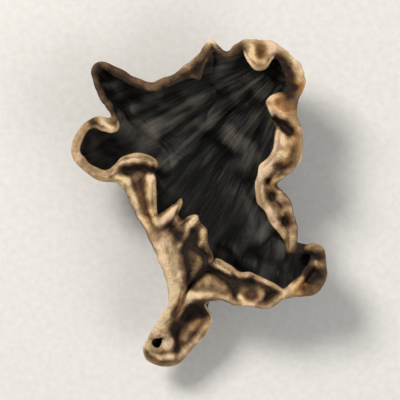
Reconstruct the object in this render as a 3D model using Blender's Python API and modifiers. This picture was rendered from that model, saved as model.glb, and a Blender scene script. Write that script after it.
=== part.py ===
"""A dried wood ear mushroom, lying on the flat cut of its stub with its cup open upwards.

The ear is one thin leathery sheet. It starts at the floor of the cup, climbs a steep and folded wall to the
crest, and there the margin rolls over inwards, crimped into flaps, fingers and pits. A short stub under the
floor is where it grew from the wood, cut off flat.

Metres, +Z up. The origin is the centre of the cut. +Y is up and +X is right for somebody who looks down
into the cup.
"""

import math

import bmesh
import bpy
import numpy as np

MM = 0.001

# Driving dimensions
EAR_LENGTH = 52.0 * MM  # along Y, from the foot to the top rim
SHEET_THICKNESS = 0.7 * MM
STUB_RADIUS = 5.6 * MM  # at the cut
STUB_NECK_RADIUS = 4.6 * MM  # where it meets the sheet
STUB_HEIGHT = 3.4 * MM  # from the cut to the middle of the sheet over it
FLOOR_RADIUS = 4.5 * MM  # flat floor of the cup, over the stub
ROLL_TURN = 4.5 * MM  # a larger one makes a wide roll stand prouder of the crest
FOLD_FADE = 1 / 40  # how far along the margin the wall's lowest rows are evened out, as a share of its length
FLOOR_FADE = 1 / 30  # the same of the directions in which the floor's rim looks
CRUMPLE_DEPTH = 0.6 * MM
CRUMPLE_LENGTH = 9.0 * MM  # from one bump to the next
STUB_UNEVENNESS = ((2, 0.05), (5, 0.03))  # waves round the stub, and their depth as a share of its radius
STUB_TURN = 0.6  # where round the stub the waves start, in radians
DENT_REACH = 0.9  # share of the roll's width; from there to the free edge a dent keeps its height
SKIN_COLOUR = (0.055, 0.042, 0.032, 1)
SKIN_ROUGHNESS = 0.6

# How finely the sheet is divided. A ring of it has every station, or only every second or fourth one.
STATIONS_AROUND = 168
FLOOR_ROWS = 1
WALL_ROWS = 7
ROLL_ROWS = 7
STATION_STEPS = [4, 2, 2, 2, 1, 1, 1, 1]  # for the first rings outwards; the rest have every station
STUB_SIDES = 28
ROW_CROWDING = 1.6  # a larger one brings the wall's rows nearer to the crest
STEPS_PER_POINT = 40  # for measuring along the margin

# The margin in plan and height, going counter-clockwise from the notch at the right.
# Each row: the crest (x, y, z), how steeply the wall meets it in degrees, the margin's free edge (x, y, z),
# and how far the band between the two sinks. Millimetres, on an ear drawn DRAWN_LENGTH long.
DRAWN_LENGTH = 52.0
RIGHT_RIM = [
    ((10.8, 2.9, 12.8), 88, (7.6, 2.9, 13.4), 0.6),
    ((12.2, 4.2, 13.6), 88, (7.8, 4.4, 13.8), 0.8),
    ((13.6, 5.6, 14.4), 85, (8.2, 6.0, 14.2), 0.7),
    ((14.6, 7.8, 15.0), 82, (9.7, 7.5, 14.6), 0.3),
    ((14.9, 9.4, 15.2), 80, (10.5, 9.0, 14.6), 0.1),
    ((14.9, 10.9, 15.1), 80, (10.8, 10.5, 14.4), 0.1),
    ((14.5, 12.3, 15.0), 80, (10.9, 11.8, 14.0), 0.1),
    ((14.1, 13.5, 15.0), 80, (10.5, 12.8, 13.8), 0.1),
    ((14.0, 14.6, 15.2), 80, (9.6, 14.4, 14.4), 0.1),
    ((14.2, 15.7, 15.4), 80, (9.1, 15.9, 14.8), 0.2),
    ((14.7, 16.9, 15.6), 78, (9.8, 16.7, 15.0), 0.2),
]
RIGHT_ARCH = [
    ((15.1, 18.2, 15.6), 70, (11.7, 17.4, 14.9), 0.0),
    ((15.2, 19.6, 15.6), 66, (12.3, 19.3, 14.9), 0.0),
    ((14.7, 21.2, 15.6), 66, (12.0, 20.9, 15.0), 0.0),
    ((13.7, 22.6, 15.5), 66, (11.1, 22.2, 15.0), 0.0),
    ((12.2, 24.1, 15.4), 70, (10.0, 22.9, 14.9), 0.0),
]
TOP_KNOB = [
    ((10.6, 25.0, 15.1), 80, (9.8, 22.7, 14.8), 0.0),
    ((9.1, 25.5, 14.9), 80, (8.9, 21.4, 14.7), 0.0),
    ((7.8, 25.7, 14.6), 80, (7.3, 21.1, 14.6), 0.0),
    ((6.5, 25.8, 14.2), 78, (6.2, 22.5, 14.3), 0.0),
]
TOP_RIM = [
    ((5.3, 25.8, 13.6), 76, (5.6, 24.2, 14.0), 0.0),
    ((4.1, 25.0, 12.9), 73, (4.4, 23.8, 13.6), 0.0),
    ((2.8, 24.2, 12.3), 71, (2.9, 23.1, 13.0), 0.0),
    ((1.7, 24.9, 12.1), 71, (1.8, 23.6, 12.8), 0.0),
    ((0.5, 25.9, 11.9), 66, (0.9, 24.2, 12.6), 0.0),
    ((-0.6, 25.0, 11.7), 60, (0.1, 23.4, 12.2), 0.0),
    ((-1.5, 23.8, 11.5), 60, (-0.6, 21.6, 11.9), 0.0),
    ((-2.5, 22.8, 11.3), 60, (-1.4, 19.8, 11.6), 0.0),
    ((-3.7, 21.8, 10.9), 60, (-2.8, 20.0, 11.5), 0.0),
    ((-5.2, 20.8, 10.4), 60, (-4.9, 19.5, 11.1), 0.0),
    ((-7.1, 19.9, 9.9), 60, (-7.0, 18.6, 10.6), 0.0),
    ((-9.4, 19.1, 9.5), 60, (-9.3, 17.9, 10.3), 0.0),
]
UPPER_LEFT_LOBE = [
    ((-11.6, 20.2, 9.1), 66, (-12.0, 19.0, 9.9), 0.0),
    ((-14.0, 21.5, 8.5), 74, (-14.4, 20.4, 9.3), 0.0),
    ((-16.3, 22.7, 7.8), 70, (-16.3, 21.5, 8.6), 0.0),
    ((-18.0, 22.6, 7.3), 55, (-17.2, 21.5, 8.1), 0.0),
    ((-18.7, 20.8, 7.4), 70, (-17.8, 20.5, 8.2), 0.0),
    ((-18.1, 18.6, 8.3), 78, (-17.2, 18.6, 9.1), 0.0),
    ((-17.2, 16.8, 9.5), 80, (-16.3, 17.0, 10.3), 0.0),
    ((-16.2, 15.2, 10.8), 74, (-15.2, 15.3, 11.6), 0.0),
]
HOOK = [
    ((-15.2, 13.9, 11.7), 70, (-13.9, 12.3, 12.4), 0.0),
    ((-16.3, 13.6, 12.4), 66, (-15.2, 11.3, 13.0), 0.0),
    ((-17.4, 13.7, 12.6), 62, (-16.6, 11.6, 13.2), 0.0),
    ((-18.4, 13.4, 12.7), 62, (-17.8, 12.0, 13.2), 0.0),
    ((-19.5, 12.7, 12.8), 62, (-18.8, 11.5, 13.4), 0.0),
    ((-20.7, 11.4, 13.0), 62, (-19.6, 10.6, 13.6), 0.0),
    ((-21.4, 9.7, 13.0), 62, (-20.1, 9.3, 13.6), 0.0),
    ((-21.4, 8.0, 13.0), 62, (-20.0, 8.1, 13.6), 0.0),
    ((-20.8, 6.4, 13.0), 62, (-19.4, 7.1, 13.6), 0.0),
    ((-19.6, 5.0, 12.9), 62, (-18.6, 6.2, 13.4), 0.0),
    ((-18.0, 3.9, 12.8), 66, (-17.3, 5.4, 13.4), 0.0),
    ((-16.2, 3.4, 12.8), 74, (-15.9, 5.2, 13.4), 0.0),
]
ARC_FLAP = [
    ((-15.2, 3.3, 12.9), 86, (-14.7, 6.0, 13.8), 0.0),
    ((-14.7, 3.2, 13.0), 86, (-13.5, 6.9, 14.2), 0.0),
    ((-14.3, 3.1, 13.0), 86, (-11.8, 7.5, 14.4), 0.0),
    ((-13.9, 2.9, 13.1), 86, (-9.9, 7.5, 14.4), 0.0),
    ((-13.6, 2.7, 13.2), 86, (-8.6, 6.9, 14.3), 0.1),
    ((-13.4, 2.4, 13.2), 86, (-8.1, 6.0, 14.0), 0.3),
]
FINGERS = [
    ((-13.1, 2.1, 13.3), 87, (-8.5, 5.4, 13.5), 0.4),
    ((-12.9, 1.7, 13.5), 88, (-9.0, 5.0, 13.6), 0.6),
    ((-12.6, 1.1, 13.6), 88, (-8.6, 4.3, 13.7), 0.6),
    ((-12.3, 0.4, 13.7), 88, (-8.3, 3.3, 13.7), 0.5),
    ((-12.0, -0.4, 13.8), 88, (-8.3, 1.2, 13.6), 0.5),
    ((-11.6, -1.3, 13.9), 88, (-8.3, -1.0, 13.5), 0.5),
    ((-11.2, -2.2, 13.9), 88, (-7.6, -2.4, 13.3), 0.4),
    ((-10.7, -3.0, 14.0), 88, (-6.5, -1.9, 13.5), 0.3),
    ((-10.3, -3.7, 14.0), 88, (-5.2, -0.2, 13.8), 0.2),
    ((-9.9, -4.4, 14.0), 88, (-4.4, 0.7, 13.9), 0.2),
    ((-9.6, -4.9, 14.0), 88, (-4.1, 0.0, 13.8), 0.2),
    ((-9.2, -5.5, 14.0), 88, (-5.0, -1.7, 13.3), 0.4),
    ((-8.9, -6.1, 13.9), 88, (-4.2, -2.7, 13.1), 0.6),
    ((-8.6, -6.7, 13.9), 88, (-3.1, -2.0, 13.4), 0.8),
    ((-8.3, -7.3, 13.8), 88, (-1.8, -1.9, 13.6), 0.9),
]
LEFT_WAIST = [
    ((-8.0, -7.9, 13.7), 88, (-1.5, -3.2, 13.3), 1.2),
    ((-7.8, -8.6, 13.6), 88, (-0.5, -4.2, 13.1), 1.3),
    ((-7.5, -9.3, 13.5), 88, (-0.2, -5.8, 13.0), 1.4),
    ((-7.2, -10.1, 13.3), 88, (0.1, -7.2, 12.9), 1.3),
    ((-7.0, -10.9, 13.1), 87, (0.6, -8.5, 12.8), 1.2),
    ((-6.8, -11.7, 12.8), 86, (0.1, -9.5, 12.7), 1.0),
    ((-6.7, -12.5, 12.5), 84, (-1.5, -10.8, 12.5), 0.7),
    ((-6.5, -13.5, 12.1), 82, (-2.9, -12.4, 12.3), 0.3),
    ((-6.3, -14.7, 11.6), 80, (-4.0, -14.2, 11.9), 0.0),
]
FOOT = [
    ((-6.8, -16.3, 10.8), 74, (-4.7, -16.2, 11.3), 0.0),
    ((-7.8, -18.0, 9.8), 68, (-5.5, -18.0, 10.5), 0.0),
    ((-8.8, -19.6, 8.9), 62, (-6.4, -19.6, 9.7), 0.0),
    ((-9.5, -20.7, 8.3), 58, (-7.2, -20.9, 9.2), 0.0),
    ((-10.0, -21.8, 7.7), 54, (-8.7, -21.5, 8.7), 0.0),
    ((-10.4, -23.4, 6.9), 48, (-9.2, -22.4, 8.2), 0.0),
    ((-9.6, -25.2, 6.3), 44, (-8.7, -23.1, 7.8), 0.0),
    ((-7.5, -26.1, 6.0), 42, (-7.8, -23.1, 7.7), 0.0),
    ((-5.2, -25.9, 5.9), 42, (-7.2, -22.4, 7.8), 0.0),
    ((-3.5, -24.6, 6.1), 45, (-7.2, -21.6, 8.0), 0.0),
    ((-2.2, -22.9, 6.4), 50, (-6.9, -20.7, 8.2), 0.2),
    ((-0.7, -21.3, 6.8), 60, (-6.3, -19.3, 8.5), 0.3),
    ((0.3, -19.9, 7.3), 70, (-5.9, -18.5, 8.9), 0.4),
    ((0.6, -18.7, 7.9), 76, (-5.6, -17.8, 9.2), 0.6),
    ((0.4, -17.6, 8.4), 80, (-5.3, -17.1, 9.5), 0.7),
    ((-0.2, -16.8, 9.2), 84, (-5.1, -16.4, 9.9), 0.7),
    ((-0.5, -15.9, 10.2), 86, (-4.9, -15.5, 10.3), 0.4),
]
BOTTOM_RIM = [
    ((0.2, -15.2, 11.2), 80, (-4.6, -14.2, 10.7), 0.1),
    ((1.3, -15.2, 11.8), 82, (-3.6, -12.7, 11.0), 0.1),
    ((2.3, -15.4, 11.8), 82, (-2.5, -10.9, 11.3), 0.3),
    ((3.2, -15.6, 11.8), 82, (-0.6, -9.4, 11.5), 0.6),
    ((4.2, -15.9, 11.8), 82, (1.5, -8.8, 12.0), 0.9),
    ((5.2, -16.1, 11.8), 82, (3.1, -9.7, 12.3), 1.1),
    ((6.6, -16.4, 11.8), 82, (5.0, -10.9, 12.5), 1.1),
    ((8.2, -16.6, 11.8), 82, (7.0, -11.2, 12.5), 1.1),
    ((9.6, -16.4, 12.0), 82, (8.8, -11.9, 12.5), 0.9),
    ((10.9, -15.9, 12.2), 82, (10.4, -12.8, 12.6), 0.5),
    ((12.2, -15.0, 12.4), 80, (11.8, -13.5, 12.8), 0.0),
    ((13.6, -14.6, 12.5), 80, (13.0, -12.9, 12.9), 0.0),
]
LOWER_RIGHT_CURL = [
    ((15.1, -14.7, 12.6), 78, (14.0, -12.0, 13.0), 0.2),
    ((16.6, -14.2, 12.7), 76, (14.8, -11.0, 13.1), 0.5),
    ((17.8, -13.1, 12.8), 75, (15.4, -10.3, 13.2), 0.7),
    ((18.6, -11.6, 12.9), 75, (15.9, -9.7, 13.2), 0.8),
    ((18.7, -9.9, 13.0), 75, (16.2, -9.1, 13.2), 0.5),
    ((18.5, -8.2, 13.0), 76, (16.3, -8.3, 13.2), 0.2),
    ((17.9, -6.7, 13.0), 78, (16.1, -7.7, 13.2), 0.0),
    ((16.6, -6.1, 12.9), 80, (15.5, -7.5, 13.1), 0.0),
    ((15.6, -6.3, 12.7), 82, (14.9, -7.8, 12.9), 0.0),
    ((14.8, -6.8, 12.2), 84, (14.1, -8.3, 12.4), 0.0),
    ((14.1, -6.3, 12.5), 86, (12.7, -7.8, 12.6), 0.0),
]
RIGHT_WAIST = [
    ((14.0, -5.4, 12.9), 86, (12.1, -6.1, 13.0), 0.3),
    ((14.0, -3.9, 13.0), 86, (11.1, -4.5, 13.3), 0.7),
    ((13.8, -2.4, 13.1), 86, (10.0, -2.9, 13.5), 0.9),
    ((13.3, -0.9, 13.1), 86, (9.0, -1.3, 13.6), 1.0),
    ((12.8, 0.6, 13.0), 87, (8.1, 0.0, 13.6), 0.9),
    ((11.7, 1.8, 12.8), 88, (7.7, 1.4, 13.5), 0.7),
]
MARGIN = (
    RIGHT_RIM + RIGHT_ARCH + TOP_KNOB + TOP_RIM + UPPER_LEFT_LOBE + HOOK + ARC_FLAP + FINGERS
    + LEFT_WAIST + FOOT + BOTTOM_RIM + LOWER_RIGHT_CURL + RIGHT_WAIST
)

# Dents in the rolled band: from (x, y) to (x, y), half width, and height, in millimetres like MARGIN.
# A negative height is a pit or a groove, a positive one a bead or a ridge.
DENTS = [
    ((10.4, 13.2), (12.8, 11.4), 1.1, -1.8),  # slit beside the knob of the right rim
    ((10.2, 15.8), (13.0, 14.2), 1.3, 0.6),  # the knob
    ((9.2, 3.6), (9.8, 3.2), 1.0, -0.6),
    ((10.0, 1.0), (10.0, 0.6), 1.0, -0.9),
    ((11.8, -2.3), (12.2, -3.1), 1.0, -1.1),
    ((16.2, -11.6), (16.6, -11.0), 1.2, -1.8),  # hole of the lower right curl
    ((5.8, -12.3), (6.6, -12.3), 1.0, -0.9),
    ((9.2, -15.0), (9.6, -14.6), 1.0, -0.7),
    ((1.6, -11.0), (3.4, -12.2), 1.0, -0.9),
    ((-3.2, -6.2), (-2.3, -6.7), 1.1, -1.0),
    ((-0.9, -7.8), (-0.6, -8.1), 1.0, -0.9),
    ((-5.0, -4.6), (-4.6, -4.9), 1.0, -0.8),
    ((-3.2, -9.0), (-3.0, -12.6), 1.0, -0.8),
    ((-3.2, -17.2), (-0.6, -16.6), 1.3, -1.2),  # hollow behind the foot
    ((-3.2, -14.8), (0.4, -14.4), 0.9, 0.6),
    ((-12.4, 5.4), (-9.4, 5.6), 1.0, -0.9),  # under the arched flap
]


def closed_curve(points, places):
    """A smooth closed curve through points (Catmull-Rom), read at places counted in points."""
    points = np.asarray(points, float)
    count = len(points)
    first = np.floor(places).astype(int)
    t = (places - first)[:, None]
    a, b, c, d = (points[(first + step) % count] for step in (-1, 0, 1, 2))
    return 0.5 * (2 * b + (c - a) * t + (2 * a - 5 * b + 4 * c - d) * t**2 + (3 * b - a - 3 * c + d) * t**3)


def even_places(curves, count):
    """Places along closed curves that share their points' order, evenly spaced by their mean length."""
    fine = np.arange(len(curves[0]) * STEPS_PER_POINT + 1) / STEPS_PER_POINT
    steps = sum(np.linalg.norm(np.diff(closed_curve(curve, fine), axis=0), axis=1) for curve in curves)
    length = np.concatenate([[0.0], np.cumsum(steps)])
    return np.interp(np.arange(count) / count * length[-1], length, fine)


def unit(vectors):
    return vectors / np.linalg.norm(vectors, axis=-1, keepdims=True)


def hermite(start, start_pull, end, end_pull, t):
    """The cubic from start to end that leaves and arrives along the two pulls."""
    t = t[None, :, None]
    start, start_pull, end, end_pull = (x[:, None, :] for x in (start, start_pull, end, end_pull))
    return (
        (2 * t**3 - 3 * t**2 + 1) * start
        + (t**3 - 2 * t**2 + t) * start_pull
        + (3 * t**2 - 2 * t**3) * end
        + (t**3 - t**2) * end_pull
    )


def smoothed(values, width):
    """values round the ear, averaged over width neighbours to each side."""
    return sum(np.roll(values, step, axis=0) for step in range(-width, width + 1)) / (2 * width + 1)


def dented(points, scale):
    """How far the dents move each point up."""
    moved = np.zeros(points.shape[:-1])
    for start, end, half_width, height in DENTS:
        start, end = np.array(start) * scale, np.array(end) * scale
        run = end - start
        share = np.clip((points[..., :2] - start) @ run / (run @ run), 0, 1)[..., None]
        away = np.linalg.norm(points[..., :2] - start - share * run, axis=-1) / (half_width * scale)
        moved += height * scale * np.exp(-(away**2))
    return moved


def crumple(points):
    """How smooth waves move each point a little to and fro, so that no wall is even. The floor stays flat."""
    x, y, z = np.moveaxis(points * (2 * math.pi / CRUMPLE_LENGTH), -1, 0)
    waves = np.stack([
        np.sin(0.9 * y + 0.6 * z + 1.0) + 0.5 * np.sin(1.7 * y - 0.8 * x),
        np.sin(0.8 * x - 0.7 * z + 2.2) + 0.5 * np.sin(1.5 * x + 1.1 * y + 0.5),
        np.sin(0.7 * x + 0.8 * y + 0.3) + 0.5 * np.sin(1.3 * x - 1.4 * y + 1.9),
    ], axis=-1)
    away = np.linalg.norm(points[..., :2], axis=-1, keepdims=True)
    return CRUMPLE_DEPTH * waves * np.clip(away / FLOOR_RADIUS - 1, 0, 1)


def sheet(around, floor_rows, wall_rows, roll_rows):
    """The middle of the sheet as points [station round the ear, row from the floor to the margin's edge]."""
    scale = EAR_LENGTH / DRAWN_LENGTH
    crests = np.array([row[0] for row in MARGIN]) * scale
    edges = np.array([row[2] for row in MARGIN]) * scale
    angles_and_sinks = np.array([(math.radians(row[1]), row[3] * scale) for row in MARGIN])
    places = even_places([crests, edges], around)
    crest = closed_curve(crests, places)
    edge = closed_curve(edges, places)
    steep, sink = np.split(closed_curve(angles_and_sinks, places), 2, axis=1)

    along = np.roll(crest, -1, axis=0) - np.roll(crest, 1, axis=0)
    along[:, 2] = 0
    along = unit(smoothed(along, 1))
    out = np.stack([along[:, 1], -along[:, 0], np.zeros(around)], axis=1)
    up = np.array([0.0, 0.0, 1.0])
    crest = crest - SHEET_THICKNESS / 2 * out  # the rows above give the sheet's outside

    # The floor of the cup: its rim looks towards the crest, evened out so that lobes don't pinch it.
    bearing = np.unwrap(np.arctan2(crest[:, 1], crest[:, 0]))
    even = bearing[0] + np.arange(around) / around * 2 * math.pi
    bearing = even + smoothed(bearing - even, round(around * FLOOR_FADE))
    radial = np.stack([np.cos(bearing), np.sin(bearing), np.zeros(around)], axis=1)
    middle = np.array([0.0, 0.0, STUB_HEIGHT])
    floor_rim = middle + FLOOR_RADIUS * radial

    # The wall leaves the floor level and meets the crest at its own steepness. Its folds fade downwards.
    reach = np.linalg.norm((crest - floor_rim), axis=1, keepdims=True)
    rise = np.cos(steep) * out + np.sin(steep) * up
    height = 1 - (1 - np.arange(1, wall_rows + 1) / wall_rows) ** ROW_CROWDING
    wall = hermite(floor_rim, radial * reach, crest, rise * reach, height)
    for row, share in enumerate(height):
        wall[:, row] = smoothed(wall[:, row], round((1 - share) * around * FOLD_FADE))
    wall += crumple(wall) * (1 - height**2)[:, None]

    # The roll goes on from the wall, turns over no tighter than the sheet can, and ends at the free edge.
    width = np.linalg.norm(edge - crest, axis=1, keepdims=True)
    turn = np.minimum(np.sqrt(ROLL_TURN * width), width)
    share = np.arange(1, roll_rows + 1) / roll_rows
    roll = hermite(crest, rise * turn, edge, unit(edge - crest) * np.maximum(width, turn), share)
    roll[..., 2] -= sink * np.sin(math.pi * share) ** 2
    roll[..., 2] += dented(roll, scale) * np.sqrt(np.sin(math.pi * np.minimum(share, DENT_REACH)))

    ring = np.arange(1, floor_rows + 1)[None, :, None] / floor_rows
    floor = middle + ring * (floor_rim - middle)[:, None, :]
    return np.concatenate([floor, wall, roll], axis=1), middle


def new_object(name, mesh, collection):
    made = bpy.data.objects.new(name, mesh)
    collection.objects.link(made)
    return made


def new_collection(name):
    made = bpy.data.collections.new(name)
    bpy.context.scene.collection.children.link(made)
    return made


def join_rings(grid, inner, outer):
    """Faces between two rings, the outer of which has as many points or twice as many."""
    count = len(inner)
    for i in range(count):
        after = (i + 1) % count
        if len(outer) == count:
            grid.faces.new([inner[i], outer[i], outer[after], inner[after]])
        else:
            grid.faces.new([inner[i], outer[2 * i], outer[2 * i + 1]])
            grid.faces.new([inner[i], outer[2 * i + 1], inner[after]])
            grid.faces.new([inner[after], outer[2 * i + 1], outer[2 * after]])


def sheet_mesh():
    """The sheet as an open surface of rings round one point at the middle of the floor."""
    points, middle = sheet(STATIONS_AROUND, FLOOR_ROWS, WALL_ROWS, ROLL_ROWS)
    rows = points.shape[1]
    steps = STATION_STEPS + [1] * (rows - len(STATION_STEPS))
    grid = bmesh.new()
    centre = grid.verts.new(middle)
    rings = [[grid.verts.new(point) for point in points[::step, row]] for row, step in enumerate(steps)]
    for i, corner in enumerate(rings[0]):
        grid.faces.new([centre, corner, rings[0][(i + 1) % len(rings[0])]])
    for inner, outer in zip(rings, rings[1:]):
        join_rings(grid, inner, outer)
    mesh = bpy.data.meshes.new("wood_ear")
    grid.to_mesh(mesh)
    grid.free()
    mesh.shade_smooth()
    return mesh


def stub_mesh():
    """The stub: a short, slightly uneven cone that stands on the cut."""
    shape = bmesh.new()
    bmesh.ops.create_cone(
        shape,
        cap_ends=True,
        segments=STUB_SIDES,
        radius1=STUB_RADIUS,
        radius2=STUB_NECK_RADIUS,
        depth=STUB_HEIGHT,
    )
    for corner in shape.verts:
        turn = math.atan2(corner.co.y, corner.co.x)
        uneven = 1 + sum(depth * math.sin(waves * turn + STUB_TURN) for waves, depth in STUB_UNEVENNESS)
        corner.co.x *= uneven
        corner.co.y *= uneven
        corner.co.z += STUB_HEIGHT / 2
    mesh = bpy.data.meshes.new("stub")
    shape.to_mesh(mesh)
    shape.free()
    return mesh


def ear_material():
    material = bpy.data.materials.new("dried_wood_ear")
    material.use_nodes = True
    shader = material.node_tree.nodes["Principled BSDF"]
    shader.inputs["Base Color"].default_value = SKIN_COLOUR
    shader.inputs["Roughness"].default_value = SKIN_ROUGHNESS
    shader.inputs["Metallic"].default_value = 0
    return material


def keep_largest_shell(mesh):
    """Removes the tiny closed pockets left where the crimped margin presses on itself."""
    shape = bmesh.new()
    shape.from_mesh(mesh)
    shells, waiting = [], set(shape.faces)
    while waiting:
        shell, front = set(), {waiting.pop()}
        while front:
            shell |= front
            waiting -= front
            edges = {edge for face in front for edge in face.edges if edge.is_manifold}
            front = {face for edge in edges for face in edge.link_faces} & waiting
        shells.append(shell)
    shells.sort(key=len)
    bmesh.ops.delete(shape, geom=[face for shell in shells[:-1] for face in shell], context="FACES")
    shape.to_mesh(mesh)
    shape.free()


def build():
    for old in list(bpy.data.objects):
        bpy.data.objects.remove(old, do_unlink=True)
    stub = new_object("stub_shape", stub_mesh(), new_collection("shapes_joined_on"))
    stub.hide_render = True
    stub.display_type = "WIRE"

    ear = new_object("wood_ear", sheet_mesh(), new_collection("wood_ear_mushroom"))
    ear.data.materials.append(ear_material())
    thickness = ear.modifiers.new("thickness", "SOLIDIFY")
    thickness.thickness = SHEET_THICKNESS
    thickness.offset = 0
    joined = ear.modifiers.new("stub", "BOOLEAN")
    joined.operation = "UNION"
    joined.object = stub
    joined.use_self = True  # where the crimped margin presses on itself, the layers become one

    solid = bpy.data.meshes.new_from_object(ear.evaluated_get(bpy.context.evaluated_depsgraph_get()))
    ear.modifiers.clear()
    ear.data = solid
    keep_largest_shell(solid)
    solid.shade_smooth()
    return ear


build()
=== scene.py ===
"""A dried wood ear mushroom seen from above into its cup: the fine surface, its materials, light and camera.

The ear is one closed skin: the dark inner side of the cup, the lip of the rolled margin, the felted outer
side, and the stub with its flat cut. It repeats the margin of the solid model, and adds the ridges, crimps,
wrinkles and pits that are too fine for it.

Metres, +Z up. +Y is up and +X is right for somebody who looks down into the cup.
"""

import math

import bpy
import numpy as np
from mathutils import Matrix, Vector, noise


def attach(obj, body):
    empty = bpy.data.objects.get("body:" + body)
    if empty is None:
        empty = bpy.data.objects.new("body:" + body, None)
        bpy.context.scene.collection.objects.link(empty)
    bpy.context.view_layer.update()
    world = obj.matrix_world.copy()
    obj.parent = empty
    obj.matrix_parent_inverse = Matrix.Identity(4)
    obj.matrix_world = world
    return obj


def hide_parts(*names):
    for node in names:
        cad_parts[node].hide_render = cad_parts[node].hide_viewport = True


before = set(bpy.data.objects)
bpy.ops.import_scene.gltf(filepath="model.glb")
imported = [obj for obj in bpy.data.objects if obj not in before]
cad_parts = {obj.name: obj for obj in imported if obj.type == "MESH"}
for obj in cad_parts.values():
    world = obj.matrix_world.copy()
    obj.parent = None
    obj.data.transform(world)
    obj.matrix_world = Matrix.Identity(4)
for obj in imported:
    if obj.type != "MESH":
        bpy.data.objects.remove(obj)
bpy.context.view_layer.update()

MM = 0.001

# ---- The ear's shape, as in the solid model ----

EAR_LENGTH = 52.0 * MM  # along Y, from the foot to the top rim
SHEET_THICKNESS = 0.7 * MM
STUB_RADIUS = 5.6 * MM  # at the cut
STUB_NECK_RADIUS = 4.6 * MM  # where it meets the sheet
STUB_HEIGHT = 3.4 * MM  # from the cut to the middle of the sheet over it
FLOOR_RADIUS = 4.5 * MM  # flat floor of the cup, over the stub
ROLL_TURN = 4.5 * MM  # a larger one makes a wide roll stand prouder of the crest
FOLD_FADE = 1 / 40  # share of the margin over which the wall's lowest rows are evened out
FLOOR_FADE = 1 / 30  # the same of the directions in which the floor's rim looks
CRUMPLE_DEPTH = 0.6 * MM
CRUMPLE_LENGTH = 9.0 * MM  # from one bump to the next
STUB_UNEVENNESS = ((2, 0.05), (5, 0.03))  # waves round the stub, and their depth as a share of its radius
STUB_TURN = 0.6  # where round the stub the waves start, in radians
DENT_REACH = 0.9  # share of the roll's width; from there to the free edge a dent keeps its height
ROW_CROWDING = 1.6  # a larger one brings the wall's rows nearer to the crest
STEPS_PER_POINT = 40  # for measuring along the margin

# The margin in plan and height, going counter-clockwise from the notch at the right.
# Each row: x, y, z of the crest, how steeply the wall meets it in degrees, x, y, z of the free edge, and how
# far the band between the two sinks. Millimetres, on an ear drawn DRAWN_LENGTH long.
DRAWN_LENGTH = 52.0
DRAWN_MM = EAR_LENGTH / DRAWN_LENGTH
RIGHT_RIM = [
    (10.8, 2.9, 12.8, 88, 7.6, 2.9, 13.4, 0.6), (12.2, 4.2, 13.6, 88, 7.8, 4.4, 13.8, 0.8),
    (13.6, 5.6, 14.4, 85, 8.2, 6, 14.2, 0.7), (14.6, 7.8, 15, 82, 9.7, 7.5, 14.6, 0.3),
    (14.9, 9.4, 15.2, 80, 10.5, 9, 14.6, 0.1), (14.9, 10.9, 15.1, 80, 10.8, 10.5, 14.4, 0.1),
    (14.5, 12.3, 15, 80, 10.9, 11.8, 14, 0.1), (14.1, 13.5, 15, 80, 10.5, 12.8, 13.8, 0.1),
    (14, 14.6, 15.2, 80, 9.6, 14.4, 14.4, 0.1), (14.2, 15.7, 15.4, 80, 9.1, 15.9, 14.8, 0.2),
    (14.7, 16.9, 15.6, 78, 9.8, 16.7, 15, 0.2),
]
RIGHT_ARCH = [
    (15.1, 18.2, 15.6, 70, 11.7, 17.4, 14.9, 0), (15.2, 19.6, 15.6, 66, 12.3, 19.3, 14.9, 0),
    (14.7, 21.2, 15.6, 66, 12, 20.9, 15, 0), (13.7, 22.6, 15.5, 66, 11.1, 22.2, 15, 0),
    (12.2, 24.1, 15.4, 70, 10, 22.9, 14.9, 0),
]
TOP_KNOB = [
    (10.6, 25, 15.1, 80, 9.8, 22.7, 14.8, 0), (9.1, 25.5, 14.9, 80, 8.9, 21.4, 14.7, 0),
    (7.8, 25.7, 14.6, 80, 7.3, 21.1, 14.6, 0), (6.5, 25.8, 14.2, 78, 6.2, 22.5, 14.3, 0),
]
TOP_RIM = [
    (5.3, 25.8, 13.6, 76, 5.6, 24.2, 14, 0), (4.1, 25, 12.9, 73, 4.4, 23.8, 13.6, 0),
    (2.8, 24.2, 12.3, 71, 2.9, 23.1, 13, 0), (1.7, 24.9, 12.1, 71, 1.8, 23.6, 12.8, 0),
    (0.5, 25.9, 11.9, 66, 0.9, 24.2, 12.6, 0), (-0.6, 25, 11.7, 60, 0.1, 23.4, 12.2, 0),
    (-1.5, 23.8, 11.5, 60, -0.6, 21.6, 11.9, 0), (-2.5, 22.8, 11.3, 60, -1.4, 19.8, 11.6, 0),
    (-3.7, 21.8, 10.9, 60, -2.8, 20, 11.5, 0), (-5.2, 20.8, 10.4, 60, -4.9, 19.5, 11.1, 0),
    (-7.1, 19.9, 9.9, 60, -7, 18.6, 10.6, 0), (-9.4, 19.1, 9.5, 60, -9.3, 17.9, 10.3, 0),
]
UPPER_LEFT_LOBE = [
    (-11.6, 20.2, 9.1, 66, -12, 19, 9.9, 0), (-14, 21.5, 8.5, 74, -14.4, 20.4, 9.3, 0),
    (-16.3, 22.7, 7.8, 70, -16.3, 21.5, 8.6, 0), (-18, 22.6, 7.3, 55, -17.2, 21.5, 8.1, 0),
    (-18.7, 20.8, 7.4, 70, -17.8, 20.5, 8.2, 0), (-18.1, 18.6, 8.3, 78, -17.2, 18.6, 9.1, 0),
    (-17.2, 16.8, 9.5, 80, -16.3, 17, 10.3, 0), (-16.2, 15.2, 10.8, 74, -15.2, 15.3, 11.6, 0),
]
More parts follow.
